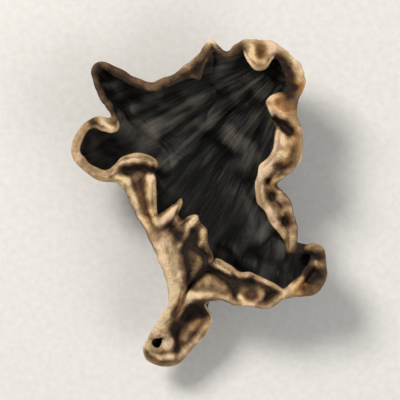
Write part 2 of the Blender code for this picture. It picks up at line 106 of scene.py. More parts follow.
HOOK = [
    (-15.2, 13.9, 11.7, 70, -13.9, 12.3, 12.4, 0), (-16.3, 13.6, 12.4, 66, -15.2, 11.3, 13, 0),
    (-17.4, 13.7, 12.6, 62, -16.6, 11.6, 13.2, 0), (-18.4, 13.4, 12.7, 62, -17.8, 12, 13.2, 0),
    (-19.5, 12.7, 12.8, 62, -18.8, 11.5, 13.4, 0), (-20.7, 11.4, 13, 62, -19.6, 10.6, 13.6, 0),
    (-21.4, 9.7, 13, 62, -20.1, 9.3, 13.6, 0), (-21.4, 8, 13, 62, -20, 8.1, 13.6, 0),
    (-20.8, 6.4, 13, 62, -19.4, 7.1, 13.6, 0), (-19.6, 5, 12.9, 62, -18.6, 6.2, 13.4, 0),
    (-18, 3.9, 12.8, 66, -17.3, 5.4, 13.4, 0), (-16.2, 3.4, 12.8, 74, -15.9, 5.2, 13.4, 0),
]
ARC_FLAP = [
    (-15.2, 3.3, 12.9, 86, -14.7, 6, 13.8, 0), (-14.7, 3.2, 13, 86, -13.5, 6.9, 14.2, 0),
    (-14.3, 3.1, 13, 86, -11.8, 7.5, 14.4, 0), (-13.9, 2.9, 13.1, 86, -9.9, 7.5, 14.4, 0),
    (-13.6, 2.7, 13.2, 86, -8.6, 6.9, 14.3, 0.1), (-13.4, 2.4, 13.2, 86, -8.1, 6, 14, 0.3),
]
FINGERS = [
    (-13.1, 2.1, 13.3, 87, -8.5, 5.4, 13.5, 0.4), (-12.9, 1.7, 13.5, 88, -9, 5, 13.6, 0.6),
    (-12.6, 1.1, 13.6, 88, -8.6, 4.3, 13.7, 0.6), (-12.3, 0.4, 13.7, 88, -8.3, 3.3, 13.7, 0.5),
    (-12, -0.4, 13.8, 88, -8.3, 1.2, 13.6, 0.5), (-11.6, -1.3, 13.9, 88, -8.3, -1, 13.5, 0.5),
    (-11.2, -2.2, 13.9, 88, -7.6, -2.4, 13.3, 0.4), (-10.7, -3, 14, 88, -6.5, -1.9, 13.5, 0.3),
    (-10.3, -3.7, 14, 88, -5.2, -0.2, 13.8, 0.2), (-9.9, -4.4, 14, 88, -4.4, 0.7, 13.9, 0.2),
    (-9.6, -4.9, 14, 88, -4.1, 0, 13.8, 0.2), (-9.2, -5.5, 14, 88, -5, -1.7, 13.3, 0.4),
    (-8.9, -6.1, 13.9, 88, -4.2, -2.7, 13.1, 0.6), (-8.6, -6.7, 13.9, 88, -3.1, -2, 13.4, 0.8),
    (-8.3, -7.3, 13.8, 88, -1.8, -1.9, 13.6, 0.9),
]
LEFT_WAIST = [
    (-8, -7.9, 13.7, 88, -1.5, -3.2, 13.3, 1.2), (-7.8, -8.6, 13.6, 88, -0.5, -4.2, 13.1, 1.3),
    (-7.5, -9.3, 13.5, 88, -0.2, -5.8, 13, 1.4), (-7.2, -10.1, 13.3, 88, 0.1, -7.2, 12.9, 1.3),
    (-7, -10.9, 13.1, 87, 0.6, -8.5, 12.8, 1.2), (-6.8, -11.7, 12.8, 86, 0.1, -9.5, 12.7, 1),
    (-6.7, -12.5, 12.5, 84, -1.5, -10.8, 12.5, 0.7), (-6.5, -13.5, 12.1, 82, -2.9, -12.4, 12.3, 0.3),
    (-6.3, -14.7, 11.6, 80, -4, -14.2, 11.9, 0),
]
FOOT = [
    (-6.8, -16.3, 10.8, 74, -4.7, -16.2, 11.3, 0), (-7.8, -18, 9.8, 68, -5.5, -18, 10.5, 0),
    (-8.8, -19.6, 8.9, 62, -6.4, -19.6, 9.7, 0), (-9.5, -20.7, 8.3, 58, -7.2, -20.9, 9.2, 0),
    (-10, -21.8, 7.7, 54, -8.7, -21.5, 8.7, 0), (-10.4, -23.4, 6.9, 48, -9.2, -22.4, 8.2, 0),
    (-9.6, -25.2, 6.3, 44, -8.7, -23.1, 7.8, 0), (-7.5, -26.1, 6, 42, -7.8, -23.1, 7.7, 0),
    (-5.2, -25.9, 5.9, 42, -7.2, -22.4, 7.8, 0), (-3.5, -24.6, 6.1, 45, -7.2, -21.6, 8, 0),
    (-2.2, -22.9, 6.4, 50, -6.9, -20.7, 8.2, 0.2), (-0.7, -21.3, 6.8, 60, -6.3, -19.3, 8.5, 0.3),
    (0.3, -19.9, 7.3, 70, -5.9, -18.5, 8.9, 0.4), (0.6, -18.7, 7.9, 76, -5.6, -17.8, 9.2, 0.6),
    (0.4, -17.6, 8.4, 80, -5.3, -17.1, 9.5, 0.7), (-0.2, -16.8, 9.2, 84, -5.1, -16.4, 9.9, 0.7),
    (-0.5, -15.9, 10.2, 86, -4.9, -15.5, 10.3, 0.4),
]
BOTTOM_RIM = [
    (0.2, -15.2, 11.2, 80, -4.6, -14.2, 10.7, 0.1), (1.3, -15.2, 11.8, 82, -3.6, -12.7, 11, 0.1),
    (2.3, -15.4, 11.8, 82, -2.5, -10.9, 11.3, 0.3), (3.2, -15.6, 11.8, 82, -0.6, -9.4, 11.5, 0.6),
    (4.2, -15.9, 11.8, 82, 1.5, -8.8, 12, 0.9), (5.2, -16.1, 11.8, 82, 3.1, -9.7, 12.3, 1.1),
    (6.6, -16.4, 11.8, 82, 5, -10.9, 12.5, 1.1), (8.2, -16.6, 11.8, 82, 7, -11.2, 12.5, 1.1),
    (9.6, -16.4, 12, 82, 8.8, -11.9, 12.5, 0.9), (10.9, -15.9, 12.2, 82, 10.4, -12.8, 12.6, 0.5),
    (12.2, -15, 12.4, 80, 11.8, -13.5, 12.8, 0), (13.6, -14.6, 12.5, 80, 13, -12.9, 12.9, 0),
]
LOWER_RIGHT_CURL = [
    (15.1, -14.7, 12.6, 78, 14, -12, 13, 0.2), (16.6, -14.2, 12.7, 76, 14.8, -11, 13.1, 0.5),
    (17.8, -13.1, 12.8, 75, 15.4, -10.3, 13.2, 0.7), (18.6, -11.6, 12.9, 75, 15.9, -9.7, 13.2, 0.8),
    (18.7, -9.9, 13, 75, 16.2, -9.1, 13.2, 0.5), (18.5, -8.2, 13, 76, 16.3, -8.3, 13.2, 0.2),
    (17.9, -6.7, 13, 78, 16.1, -7.7, 13.2, 0), (16.6, -6.1, 12.9, 80, 15.5, -7.5, 13.1, 0),
    (15.6, -6.3, 12.7, 82, 14.9, -7.8, 12.9, 0), (14.8, -6.8, 12.2, 84, 14.1, -8.3, 12.4, 0),
    (14.1, -6.3, 12.5, 86, 12.7, -7.8, 12.6, 0),
]
RIGHT_WAIST = [
    (14, -5.4, 12.9, 86, 12.1, -6.1, 13, 0.3), (14, -3.9, 13, 86, 11.1, -4.5, 13.3, 0.7),
    (13.8, -2.4, 13.1, 86, 10, -2.9, 13.5, 0.9), (13.3, -0.9, 13.1, 86, 9, -1.3, 13.6, 1),
    (12.8, 0.6, 13, 87, 8.1, 0, 13.6, 0.9), (11.7, 1.8, 12.8, 88, 7.7, 1.4, 13.5, 0.7),
]
MARGIN = (
    RIGHT_RIM + RIGHT_ARCH + TOP_KNOB + TOP_RIM + UPPER_LEFT_LOBE + HOOK + ARC_FLAP + FINGERS
    + LEFT_WAIST + FOOT + BOTTOM_RIM + LOWER_RIGHT_CURL + RIGHT_WAIST
)

# Each row of this and of the later tables of marks: a line's half width, its amount, and x and y of each of
# its points, in millimetres like MARGIN.
# Dents in the rolled band. The amount is the height, negative for a pit or a groove.
DENTS = [
    (1.1, -1.8, 10.4, 13.2, 12.8, 11.4),  # slit beside the knob of the right rim
    (1.3, 0.6, 10.2, 15.8, 13, 14.2),  # the knob
    (1, -0.6, 9.2, 3.6, 9.8, 3.2), (1, -0.9, 10, 1, 10, 0.6),
    (1, -1.1, 11.8, -2.3, 12.2, -3.1),
    (1.2, -1.8, 16.2, -11.6, 16.6, -11),  # hole of the lower right curl
    (1, -0.9, 5.8, -12.3, 6.6, -12.3), (1, -0.7, 9.2, -15, 9.6, -14.6),
    (1, -0.9, 1.6, -11, 3.4, -12.2), (1.1, -1, -3.2, -6.2, -2.3, -6.7),
    (1, -0.9, -0.9, -7.8, -0.6, -8.1), (1, -0.8, -5, -4.6, -4.6, -4.9),
    (1, -0.8, -3.2, -9, -3, -12.6),
    (1.3, -1.2, -3.2, -17.2, -0.6, -16.6),  # hollow behind the foot
    (0.9, 0.6, -3.2, -14.8, 0.4, -14.4),
    (1, -0.9, -12.4, 5.4, -9.4, 5.6),  # under the arched flap
]

# ---- The fine shape ----

STATIONS = 640  # round the ear
FLOOR_ROWS = 4
WALL_ROWS = 44
ROLL_ROWS = 30
LIP_ROWS = 3
WALL_END = FLOOR_ROWS + WALL_ROWS
FLOOR_STEPS = [8, 8, 4, 4]  # each row's step from station to station
WALL_STEPS = [4] * 4 + [2] * 12 + [1] * (WALL_ROWS - 16)
STUB_STEP = 4
CUT_STEPS = [4, 4, 8, 8]
FIRST_OUTER_ROW = 3  # of the wall: below it the outer side turns down into the stub
DIRECTION_SPREAD = 4  # stations to each side over which the margin's direction is averaged
CREST_SMOOTHING = 5  # passes, and rows to each side of the crest that they smooth in full
CREST_TURN = (4, 6)  # rows before and after the crest between which the normals turn evenly
CREST_MEAN = 4  # rows whose mean normal that turn starts and ends with
CREST_LEAN = 0.8  # how far the normals lean down into the cup halfway through it
SKEWED = 0.4  # a normal of the roll that points up more than this is turned over

# Waver, crimps, wrinkles and relief. Each is a noise with its depth and the length from bump to bump.
CREST_WAVER = 0.25 * MM
EDGE_WAVER = 0.3 * MM
WAVER_LENGTH = 2.4 * MM
WAVER_SEED = 14
CRIMP_DEPTH = 0.22 * MM  # folds across the margin
CRIMP_LENGTH = 2.2 * MM
CRIMP_REACH = 5.0 * MM  # how far down the wall they go
CRIMP_CHANGE = 0.15  # how fast they change on the way down, against along the margin
WRINKLE_DEPTH = 0.26 * MM  # of the whole sheet below the crest
WRINKLE_SCALE = (13.0, 13.0, 1.2)  # across and along the streaks
STREAK_RELIEF = 0.1 * MM  # on the inner side
STREAK_SCALE = (32.0, 32.0, 1.8)
NET_RELIEF = 0.05 * MM  # on the inner side
NET_LENGTH = 1.3 * MM
OUTER_NET_RELIEF = 0.06 * MM
FELT_RELIEF = 0.09 * MM
FELT_LENGTH = 1.0 * MM
FELT_SHIFT = 5.0 * MM  # brings in another part of the noise

FAN_CENTRE = (16.0, 26.0)  # the streaks fan out from there; millimetres, like MARGIN
FAN_START = 9.0 * MM  # nearer to it there are no streaks but mottling
STREAK_LENGTH = 8.0 * MM
CALM_FLOOR = 0.5  # share of the floor's radius without wrinkles and streaks
CREST_ROOM = 2.0 * MM  # way down from the crest to where the inner side has its full half thickness
BAND_ROOM = (1.0 * MM, 3.0 * MM)  # widths of the roll at which its edge has no such room, and all of it
BAND_ROOM_START = 2 / 3  # share of the roll's width from which its inner side gets that room
LEAST_ROOM = 0.25  # share of the half thickness that is always left
EDGE_THINNING = 0.2  # share of the thickness lost at the free edge

STUB_PROFILE = (  # height over the cut in millimetres, and share of the stub's radius
    (2.2, 1), (1.8, 1), (1.4, 1), (1.0, 1), (0.6, 1), (0.3, 1), (0.1, 0.99), (0.0, 0.965),
)
NECK_PULL = 1.5 * MM  # a larger one rounds the neck more
NECK_RINGS = (0.25, 0.5, 0.75)
CUT_RINGS = (0.8, 0.6, 0.4, 0.2)  # share of the cut's radius
GROOVE_DEPTH = 0.12 * MM  # of the grooves down the stub
GROOVE_CROWDING = 6.0
GROOVE_CHANGE = 200.0  # how fast they change on the way down, a metre

PALE_REACH = 3.5 * MM  # how far below the crest the pale margin goes
PALE_UNEVENNESS = 0.7
PALE_LENGTH = 3.0 * MM
PALE_FALL = 1.5  # a larger one makes it darken sooner
LIP_REACH = 0.7 * MM  # how far it goes over the free edge, on the inner side
STUB_PALENESS = 0.1
# The hollow attribute darkens the colour in hollows and makes it paler on bumps: painted shade and painted
# highlight.
HOLLOW_DEPTH = 0.15 * MM  # depth that counts as 1
HOLLOW_WEIGHTS = ((2, 1.5), (5, 0.6))  # how far round a point its depth is measured, and its weight
POLE_RUN = 1.1 * MM  # from the innermost ring to the middle, on the map for baking
MAP_GAP = 0.01  # between the two strips of that map

# How pale the felt of each stretch of the margin is, at its crest and at its free edge.
# 1 is light tan, 0 is dark brown.
PALENESS = [
    (RIGHT_RIM, 0.66, 0.84), (RIGHT_ARCH, 0.92, 0.2), (TOP_KNOB, 0.74, 0.76), (TOP_RIM, 0.36, 0.36),
    (UPPER_LEFT_LOBE, 0.2, 0.2), (HOOK, 0.64, 0.64), (ARC_FLAP, 0.68, 0.7), (FINGERS, 0.5, 0.66),
    (LEFT_WAIST, 0.8, 0.52), (FOOT, 0.68, 0.6), (BOTTOM_RIM, 0.54, 0.62), (LOWER_RIGHT_CURL, 0.26, 0.36),
    (RIGHT_WAIST, 0.38, 0.74),
]

# How the band sinks between its ridges, and the painted shade that darkens its felt there.
VALLEY_DEPTH = 1.2 * MM
VALLEY_FILL = (0.93, 0.12)  # share of a ridge's height that is reached, and how much that varies
VALLEY_LENGTH = 1.8 * MM
VALLEY_SHIFT = 4.0 * MM  # brings in another part of the noise
CREST_RIDGE = 0.9 * MM  # half width
EDGE_RIDGE = 0.7 * MM
EDGE_RIDGE_TONE = 0.3  # a free edge paler than this is a ridge too
EDGE_RIDGE_RISE = 3  # how fast it gets its full height above that
DEEPEST = 2.4 * MM  # no dent in the band goes deeper
LINE_FALL = 1.6  # a larger one gives a mark a sharper border
MARK_WAVER = 0.15  # of the marks' borders; millimetres, like MARGIN
MARK_LENGTH = 1.6 * MM
RIDGE_PALENESS = 0.1  # over the tone of the stretch
VALLEY_SHADE = 0.86  # share of the tone lost at the bottom of a valley
VALLEY_SPREAD = 0.8  # a smaller one makes shallow valleys darker
PIT_SHADE = 0.65

# Ridges of the rolled band. The amount is the height as a share of VALLEY_DEPTH. The crest is a ridge too.
RIDGES = [
    (0.8, 0.9, 14.3, 18.8, 14.1, 20.4, 13.4, 22, 12.2, 23.4, 10.6, 24.4),  # line of the arch
    (1.3, 1, 6.8, 24.6, 6.9, 23.2, 7.7, 22.2, 8.5, 22.3, 9.6, 23.6, 10.6, 24.3),  # top knob
    (0.9, 0.7, 8.2, 24.2, 8.2, 23.3),
    (0.9, 1, 9.9, 16, 10.3, 14.9, 11.6, 14, 13.2, 13.3),  # knob at the right
    (0.9, 0.9, 9.9, 16, 10.6, 16.5), (1.1, 0.75, 11.4, 15.6, 12.8, 15.2),
    (0.8, 0.85, 13.2, 13.3, 13.7, 11.8, 13.5, 10, 12.4, 8.4),
    (1.2, 0.95, 11.6, 10.4, 11.8, 9.2, 11.8, 7.8),  # plateau
    (1.1, 1, 11.4, 8, 10, 6.8, 9, 5.2), (0.8, 0.6, 12, 6.4, 12.8, 6.8),
    (0.5, 0.6, 12.6, 5, 11.2, 5, 10.6, 4.2), (0.6, 0.55, 9, 2.6, 10.6, 2.4),
    (0.9, 0.45, 9.2, 0.4, 10.2, -0.4, 11, -1.6),
    (0.85, 1, 8.3, 4.2, 8.2, 2, 8.5, 0.4, 9.7, -1.4, 10.7, -3.2, 11.8, -4.9),
    (0.6, 1, 11.4, 1.9, 11.5, 1), (0.5, 0.8, 11.6, 0.6, 12.5, -0.6, 11.8, -1.4),
    (0.6, 0.8, 13.1, -4, 13.2, -5.6, 12.9, -7),
    (0.6, 1, 12.6, -14, 13.8, -12.7, 14.6, -11.6),  # curl at the lower right
    (0.85, 1, 17.4, -9.9, 17.1, -9.2), (0.8, 1, 15.9, -6.9, 17.2, -7.1),
    (0.9, 0.65, 14.2, -13.2, 15.4, -12.9),
    (0.9, 1, -2.6, -14.4, -0.8, -14.1, 1.4, -14.3, 3, -14.9),  # triangle beside the foot
    (1, 0.85, 0.1, -12.2, 0.3, -13.4), (0.7, 0.8, 1.2, -12.6, 2.4, -13.4),
    (0.6, 1, 5.1, -14.9, 5.8, -15.6, 7, -15.8, 8, -15.2, 8.3, -14.2),  # ring
    (0.5, 0.45, 5.1, -14.9, 5.6, -13.7, 6.8, -13.3, 7.8, -13.5, 8.3, -14.2),
    (0.9, 0.55, 6.5, -14.6, 7, -14.5), (0.6, 0.9, 12.3, -13.9, 11.3, -14.9, 10.4, -15.8),
    (1.4, 1, -5.6, -15.4, -6.5, -17, -7.5, -18.8, -8.3, -20.4, -8.6, -20.9),  # foot
    (0.8, 0.85, -9.3, -21.2, -9.6, -22.6, -9, -23.8, -7.6, -24.5, -5.8, -24.5),
    (1.2, 1, -6.5, -22.1, -6.6, -22.6), (0.5, 0.9, -3, -14.9, -4, -16, -5, -17.8),
    (1.2, 0.65, -3.8, -21.4, -3, -20, -1.8, -18.6),
    (0.7, 0.85, -4.6, -24.4, -3.2, -23.1, -1.6, -21.4, -0.1, -19.4),
    (0.7, 1, -18.9, 12.3, -20.1, 11, -20.8, 9.5, -20.7, 8, -20.1, 6.7, -19.1, 5.6, -17.7, 4.7,
     -16.2, 4.4, -15, 4.9, -14.2, 6, -13.2, 6.6, -11.8, 6.9, -10, 6.9, -9, 6.4),
    (0.75, 1, -16.8, 12.9, -15.9, 12.2, -15, 11.7),
    (0.6, 1, -14.2, 3.9, -12.8, 3.4, -12.2, 2, -11.4, -0.4, -10.4, -2.6, -9.2, -4.4),
    (0.85, 1, -9.1, 4, -9.1, 1, -8.9, -0.8, -8.4, -2.2, -7.9, -3),  # fingers
    (0.6, 1, -4.3, 0.5, -5.2, -0.7, -6.2, -1.8, -7.3, -2.7),
    (0.8, 0.4, -11.3, 3.4, -10.5, 0.4, -9.5, -2.6), (0.8, 0.4, -5.3, -2.9, -4.6, -3.8),
    (0.75, 1, -2.2, -2.4, -2.5, -3.1), (0.45, 0.8, -3.2, -3.5, -3.5, -4.6, -4, -5.8, -4.9, -6.8),
    (0.6, 0.9, -0.9, -4.3, -0.9, -5.6, -1.3, -6.3),
    (1.5, 1, -7.4, -4.8, -6.3, -6.6, -5.4, -8.6, -4.8, -10.4, -4.9, -12, -5.2, -13.6, -5.5, -15.2),
    (1.3, 1, -8, -6.4, -7.1, -9, -6.4, -11.4, -6.1, -13.6),  # broad band
    (1.3, 0.3, -2.6, -7.4, -2.4, -9.4, -2.2, -11.4), (0.6, 0.9, 0.6, -9.2, 2, -9.8, 3.4, -10.7),
    (1.2, 0.75, -1.2, -13.2, 1.6, -13.3), (0.7, 0.4, -1.6, -8.6, -1.9, -10),
]

# Pits of the rolled band. The amount is the depth; the felt in them is also darkened, as painted shade.
PITS = [
    (0.65, 2.2, 10.2, 13.3, 11.4, 12.3, 12.7, 11.4),  # slit
    (0.6, 0.6, 9.3, 3.6, 9.8, 3.2), (0.55, 1.1, 10, 1.1, 9.9, 0.7),
    (0.5, 1.5, 11.9, -2.5, 12, -2.9), (0.6, 2.4, 15.9, -11.9, 16.9, -10.9),
    (0.6, 0.9, 16.7, -8.1, 17, -8.1), (0.6, 0.9, 0.2, -10.3, 1.6, -10.9, 3, -11.8, 3.6, -13),
    (0.4, 0.6, 4.2, -13.6, 4.3, -14.6), (0.6, 0.8, 6.2, -12.2, 6.6, -12.2),
    (0.5, 0.8, 9.5, -14.7, 9.2, -15.3), (0.6, 0.7, -5.2, -20.6, -5.1, -22, -5, -23.4),
    (0.9, 1.5, -3.4, -17.6, -2, -17, 0, -16.6),  # behind the foot
    (0.6, 1.4, -12.9, 5.1, -11, 5.6, -9, 5.3),  # under the arched flap
    (0.5, 0.5, -6.1, -3.3, -5.8, -3.6), (0.5, 0.8, -5, -4.7, -4.7, -5),
    (0.45, 0.7, -2.4, -4.3, -2.3, -4.7), (0.7, 1.1, -3.4, -6.5, -2.6, -6.4, -2.2, -6.8),
    (0.6, 1.1, -0.8, -7.8, -0.6, -8.1), (0.5, 0.7, -3.8, -7.6, -3.4, -9.6, -3.1, -11.4, -3.2, -13),
]

# Stains of the rolled band, and painted shade: the darker marks in gaps, slits and hollows stand for shade.
# The amount is how much paler the felt is.
STAINS_AND_SHADE = [
    (0.8, -0.5, 8.1, 24, 8.3, 23.5), (0.6, 0.15, 7, 23.6, 7.1, 23),
    (0.9, -0.45, 10.9, 15.8, 12.6, 15.2), (0.9, -0.25, 13.5, 16.8, 13.9, 15),
    (0.9, -0.2, 10.9, 10.6, 11.3, 8.8), (0.7, 0.2, 11.2, 14.1, 11.8, 13.9),
    (0.8, -0.2, 13.4, 10.6, 13.4, 8.4), (0.8, -0.4, 11.6, 5.8, 12.8, 6.4, 13.4, 6.8),
    (0.9, -0.3, 13.4, 18.4, 14.6, 18.2), (0.9, 0.45, 9.1, 5.4, 8.9, 4.8),
    (0.6, 0.2, -9, 4, -9, 2.4), (0.6, 0.2, 6.9, 24, 6.9, 23),
    (0.6, 0.25, 11, 14.4, 11.6, 13.9), (0.6, 0.3, -3.1, -14.7, -2.8, -15),
    (0.6, 0.2, 2.2, -14.8, 2.8, -15), (0.6, -0.2, 9.6, 2.5, 10.6, 2.5),
    (0.5, 0.25, 11.4, 1.8, 11.5, 1.1), (0.9, -0.8, 14.4, -7.4, 13.9, -8),
    (0.5, -0.6, 12, -5.8, 12.4, -6.1), (0.6, 0.25, 13.2, -5.2, 13.1, -6.6),
    (0.7, -0.1, 14, -13.3, 15.2, -13.3), (0.5, -0.5, 15, -7.8, 16, -7.5),
    (0.6, -0.4, 17.4, -8, 16.4, -8.2), (0.8, 0.3, 17.3, -9.8, 17, -9.2),
    (0.8, 0.2, 15.9, -6.9, 17.2, -7.1), (0.8, 0.2, 14.2, -12.2, 13.2, -13.2),
    (0.7, -0.15, 6.4, -14.7, 7, -14.5), (0.7, -0.4, -18.1, 12.6, -18.1, 13.4),
    (0.7, 0.2, -15.1, 11.8, -16.6, 12.9), (0.9, -0.35, -14.4, 13.4, -15.6, 14.4),
    (0.5, -0.4, -7.7, -1.9, -6.4, -1, -5.3, 0.1),
    (0.6, -0.25, -3.3, -3.8, -3.6, -4.8, -4.1, -5.9, -4.8, -6.8), (0.5, -0.4, -9.2, 5.3, -8.8, 5.2),
    (0.9, 0.6, -6.5, -22.1, -6.6, -22.6), (0.5, -0.5, -5.3, -18, -6.2, -20.2),
    (0.8, 0.2, -11.2, 3.4, -10.4, 0.4, -9.3, -2.6), (1, 0.32, -6.9, -17.4, -7.7, -19.6),
    (0.9, -0.5, -0.6, -15.9, 0.2, -16.8, 0.6, -17.8), (0.7, -0.2, 0.3, -13, 0.5, -13.4),
    (0.7, -0.7, -0.2, -9.6, -0.8, -10.2, -1.8, -11.2, -3, -12.6), (0.7, 0.25, 1.8, -9.5, 2.8, -10.1),
    (0.6, -0.15, 6.4, -13.3, 7.8, -13.5), (0.4, -0.25, -4.6, -15.2, -5.3, -17.6),
    (0.6, 0.2, -2.2, -2.3, -2.4, -2.9), (0.7, -0.15, -1.2, -5, -1.2, -6.4),
    (0.6, 0.7, 0.5, 25.5, 0.5, 24.9), (0.6, 0.15, 3.8, 24.6, 5.4, 25.3),
    (0.6, 0.15, -1, 20.8, -0.2, 23), (0.7, 0.35, -1.9, 20.1, -1.6, 20.6),
    (0.5, 0.4, -1.5, 19.9, -1.2, 20.9), (0.35, -0.35, -3.2, 20.2, -2.4, 21.2, -1.7, 22.2),
    (0.4, 0.2, -4.2, 21.2, -2.4, 22.6), (0.6, -0.4, 15.7, -10.6, 16.2, -10.1),
    (0.6, -0.5, 15.8, -11.9, 16.9, -10.9), (0.5, -0.2, 18.3, -10.2, 18.2, -12, 17.4, -13.6),
    (0.5, -0.5, 16.2, -8.3, 17.4, -8.3), (0.7, 0.3, 9.4, 24.4, 10, 24.3),
    (0.7, -0.05, 8.1, 23.9, 8.3, 23.5), (0.9, -0.2, 11, 15.7, 12.4, 15.1),
    (0.6, 0.2, 13.2, 22.2, 13.9, 20.6, 14.3, 19.4),
    (1.3, 0.25, -7.6, -5.5, -6.4, -8, -5.4, -11, -5.2, -14.5),
    (0.8, 0.25, -5.3, -14, -5.9, -16, -6.8, -18, -7.8, -19.8),
    (0.45, -0.35, -4.2, -13.4, -4.8, -15.4, -5.4, -17.2),
    (0.4, 0.25, -3.2, -14.8, -4, -16.2, -4.7, -17.4),
    (0.5, 0.2, -9.6, -21.6, -9.5, -23, -8.4, -24.2, -6.6, -24.7), (0.7, 0.5, -6.2, -21.9, -6.5, -22.4),
    (0.45, -0.25, -10.7, 3.2, -10.1, 0.4, -9.1, -2.6),
    (0.5, 0.2, -13, 3.2, -12, 1.2, -11, -1.4, -9.6, -4),
    (0.4, -0.5, -4.9, -1.2, -4.4, -2.4, -3.8, -2.7), (0.9, -0.15, -2.4, -8.6, -2.4, -10),
    (0.6, -0.4, 12, 11.9, 12.6, 11.4), (0.8, 0.15, 11.3, 10.4, 11.6, 9.2),
    (0.7, 0.2, 9, 5.6, 8.8, 5), (0.5, -0.3, -18.1, 12.1, -18, 12.9),
    (0.4, 0.2, 4, -11.2, 6.4, -11, 8.6, -12, 11, -13.4), (0.6, -0.4, 6, -12.2, 6.5, -12.3),
    (0.45, -0.4, 3.9, -13, 4, -14.4), (0.5, -0.4, 9.4, -14.3, 9.2, -15),
    (0.5, -0.2, 8.2, -13.9, 8.3, -14.3), (0.45, 0.25, 5, -14.8, 5.7, -15.7, 7, -16),
    (0.45, 0.3, 14.6, -13.9, 16, -13.4, 17.2, -12.4), (0.5, 0.25, 14.9, -12.9, 15.5, -12.6),
]

# Where the felt is rusty brown rather than grey brown.
RUST = [
    (0.8, 1, 8.1, 23.9, 8.4, 23.4), (1, 0.8, 10.9, 15.8, 12.6, 14.8),
    (1, 1, 12.8, 18.8, 14.2, 18), (0.8, 0.6, 13.6, 11, 13.5, 8.8),
    (0.6, 0.7, 12.8, 6.8, 11.4, 5.8), (0.6, 0.9, 9.4, 3.6, 9.6, 3.2),
    (0.8, 1, 14.2, -13.2, 15.6, -12.6), (0.5, 0.8, -4.4, -14.6, -5, -16.8),
    (0.6, 0.8, -10.7, 3.2, -10.1, 0.4, -9.1, -2.4), (0.8, 0.7, 6.3, -14.5, 6.9, -14.4),
    (0.9, 0.6, -2.2, -19.2, -0.9, -18.2), (0.5, 0.5, -12.4, 5.4, -9.2, 5.6),
]

# Painted light and shade on the cup's inner side: the paler patches are painted highlights, the darker ones
# painted shade, as in the valley in the middle.
CUP_LIGHT_AND_SHADE = [
    (2.6, 0.15, -13, 12.6, -8, 11.6, -4.8, 12.2), (1.6, 0.08, -8.4, 10, -5.2, 10.8),
    (1.8, 0.1, -9, 16.4, -5, 15.4), (1.4, 0.05, -3.4, 17, 0.8, 19.6),
    (1.6, 0.1, 3.4, 21.4, 4.2, 18.2, 6.2, 15.6), (1.8, 0.1, 6.6, 16, 7.6, 13, 6.6, 9.8),
    (1.8, 0.12, 4.2, 7.6, 4.9, 4.4), (1.2, 0.15, 6.4, 1, 6.9, -2, 7.2, -4.4),
    (0.8, 0.15, -18.4, 7.8, -18.3, 10.4), (1.8, -0.12, -2, 13.2, 1.2, 12.8, 3.8, 10.8),
    (2, -0.2, 1.6, 11.4, 0.2, 10.4, -1.9, 8, -1.2, 4),  # valley in the middle
    (2.4, -0.18, 1.2, 5, 0.4, 0, 3.4, -5, 6.6, -8.8), (1.8, -0.22, -5.4, 8.2, -3.4, 7.2),
    (1.3, -0.1, -7.4, 3, -3.2, 2.2, -0.8, -2.2), (2.4, -0.18, 8.6, -8.2, 11.4, -9.6, 13.4, -10),
    (1, -0.06, -12, 17.6, -6, 17.6, -2, 18.8),
]


def closed_curve(points, places):
    """A smooth closed curve through points (Catmull-Rom), read at places counted in points."""
    points = np.asarray(points, float)
    count = len(points)
    first = np.floor(places).astype(int)
    t = (places - first)[:, None]
    a, b, c, d = (points[(first + step) % count] for step in (-1, 0, 1, 2))
    return 0.5 * (2 * b + (c - a) * t + (2 * a - 5 * b + 4 * c - d) * t**2 + (3 * b - a - 3 * c + d) * t**3)


def even_places(curves, count):
    """Places along closed curves that share their points' order, evenly spaced by their mean length."""
    fine = np.arange(len(curves[0]) * STEPS_PER_POINT + 1) / STEPS_PER_POINT
    steps = sum(np.linalg.norm(np.diff(closed_curve(curve, fine), axis=0), axis=1) for curve in curves)
    length = np.concatenate([[0.0], np.cumsum(steps)])
    return np.interp(np.arange(count) / count * length[-1], length, fine)


def unit(vectors):
    return vectors / np.linalg.norm(vectors, axis=-1, keepdims=True)


def hermite(start, start_pull, end, end_pull, t):
    """The cubic from start to end that leaves and arrives along the two pulls."""
    t = t[None, :, None]
    start, start_pull, end, end_pull = (x[:, None, :] for x in (start, start_pull, end, end_pull))
    return (
        (2 * t**3 - 3 * t**2 + 1) * start
        + (t**3 - 2 * t**2 + t) * start_pull
        + (3 * t**2 - 2 * t**3) * end
        + (t**3 - t**2) * end_pull
    )


def smoothed(values, width):
    """values round the ear, averaged over width neighbours to each side."""
    return sum(np.roll(values, step, axis=0) for step in range(-width, width + 1)) / (2 * width + 1)


def along_rows(values, times):
    """values smoothed a few times from each row to the next."""
    for _ in range(times):
        padded = np.pad(values, [(0, 0), (1, 1), (0, 0)], mode="edge")
        values = (padded[:, :-2] + 2 * padded[:, 1:-1] + padded[:, 2:]) / 4
    return values


def noise_at(points, length, kind=noise.noise):
    """Smooth noise at each point, with a bump about every length. It runs from about -1 to 1."""
    values = np.array([kind(Vector(point)) for point in (points / length).reshape(-1, 3).tolist()])
    return values.reshape(points.shape[:-1] + values.shape[1:])


def bell(distance, width):
    """1 at distance 0, falling to about 0 at twice the width."""
    return np.exp(-((distance / width) ** 2))


def near(plan, line, half_width):
    """1 on a line given as x, y, x, y..., falling to about 0 at twice half_width from it."""
    nearest = np.full(plan.shape[:-1], np.inf)
    line = np.reshape(line, (-1, 2))
    for start, run in zip(line, np.diff(line, axis=0)):
        share = np.clip((plan - start) @ run / (run @ run), 0, 1)[..., None]
        nearest = np.minimum(nearest, np.linalg.norm(plan - start - share * run, axis=-1))
    return np.exp(-((nearest / half_width) ** LINE_FALL))


def marks(plan, entries):
    """The sum of a table of marks at each (x, y) of plan."""
    return sum(amount * near(plan, line, half_width) for half_width, amount, *line in entries)


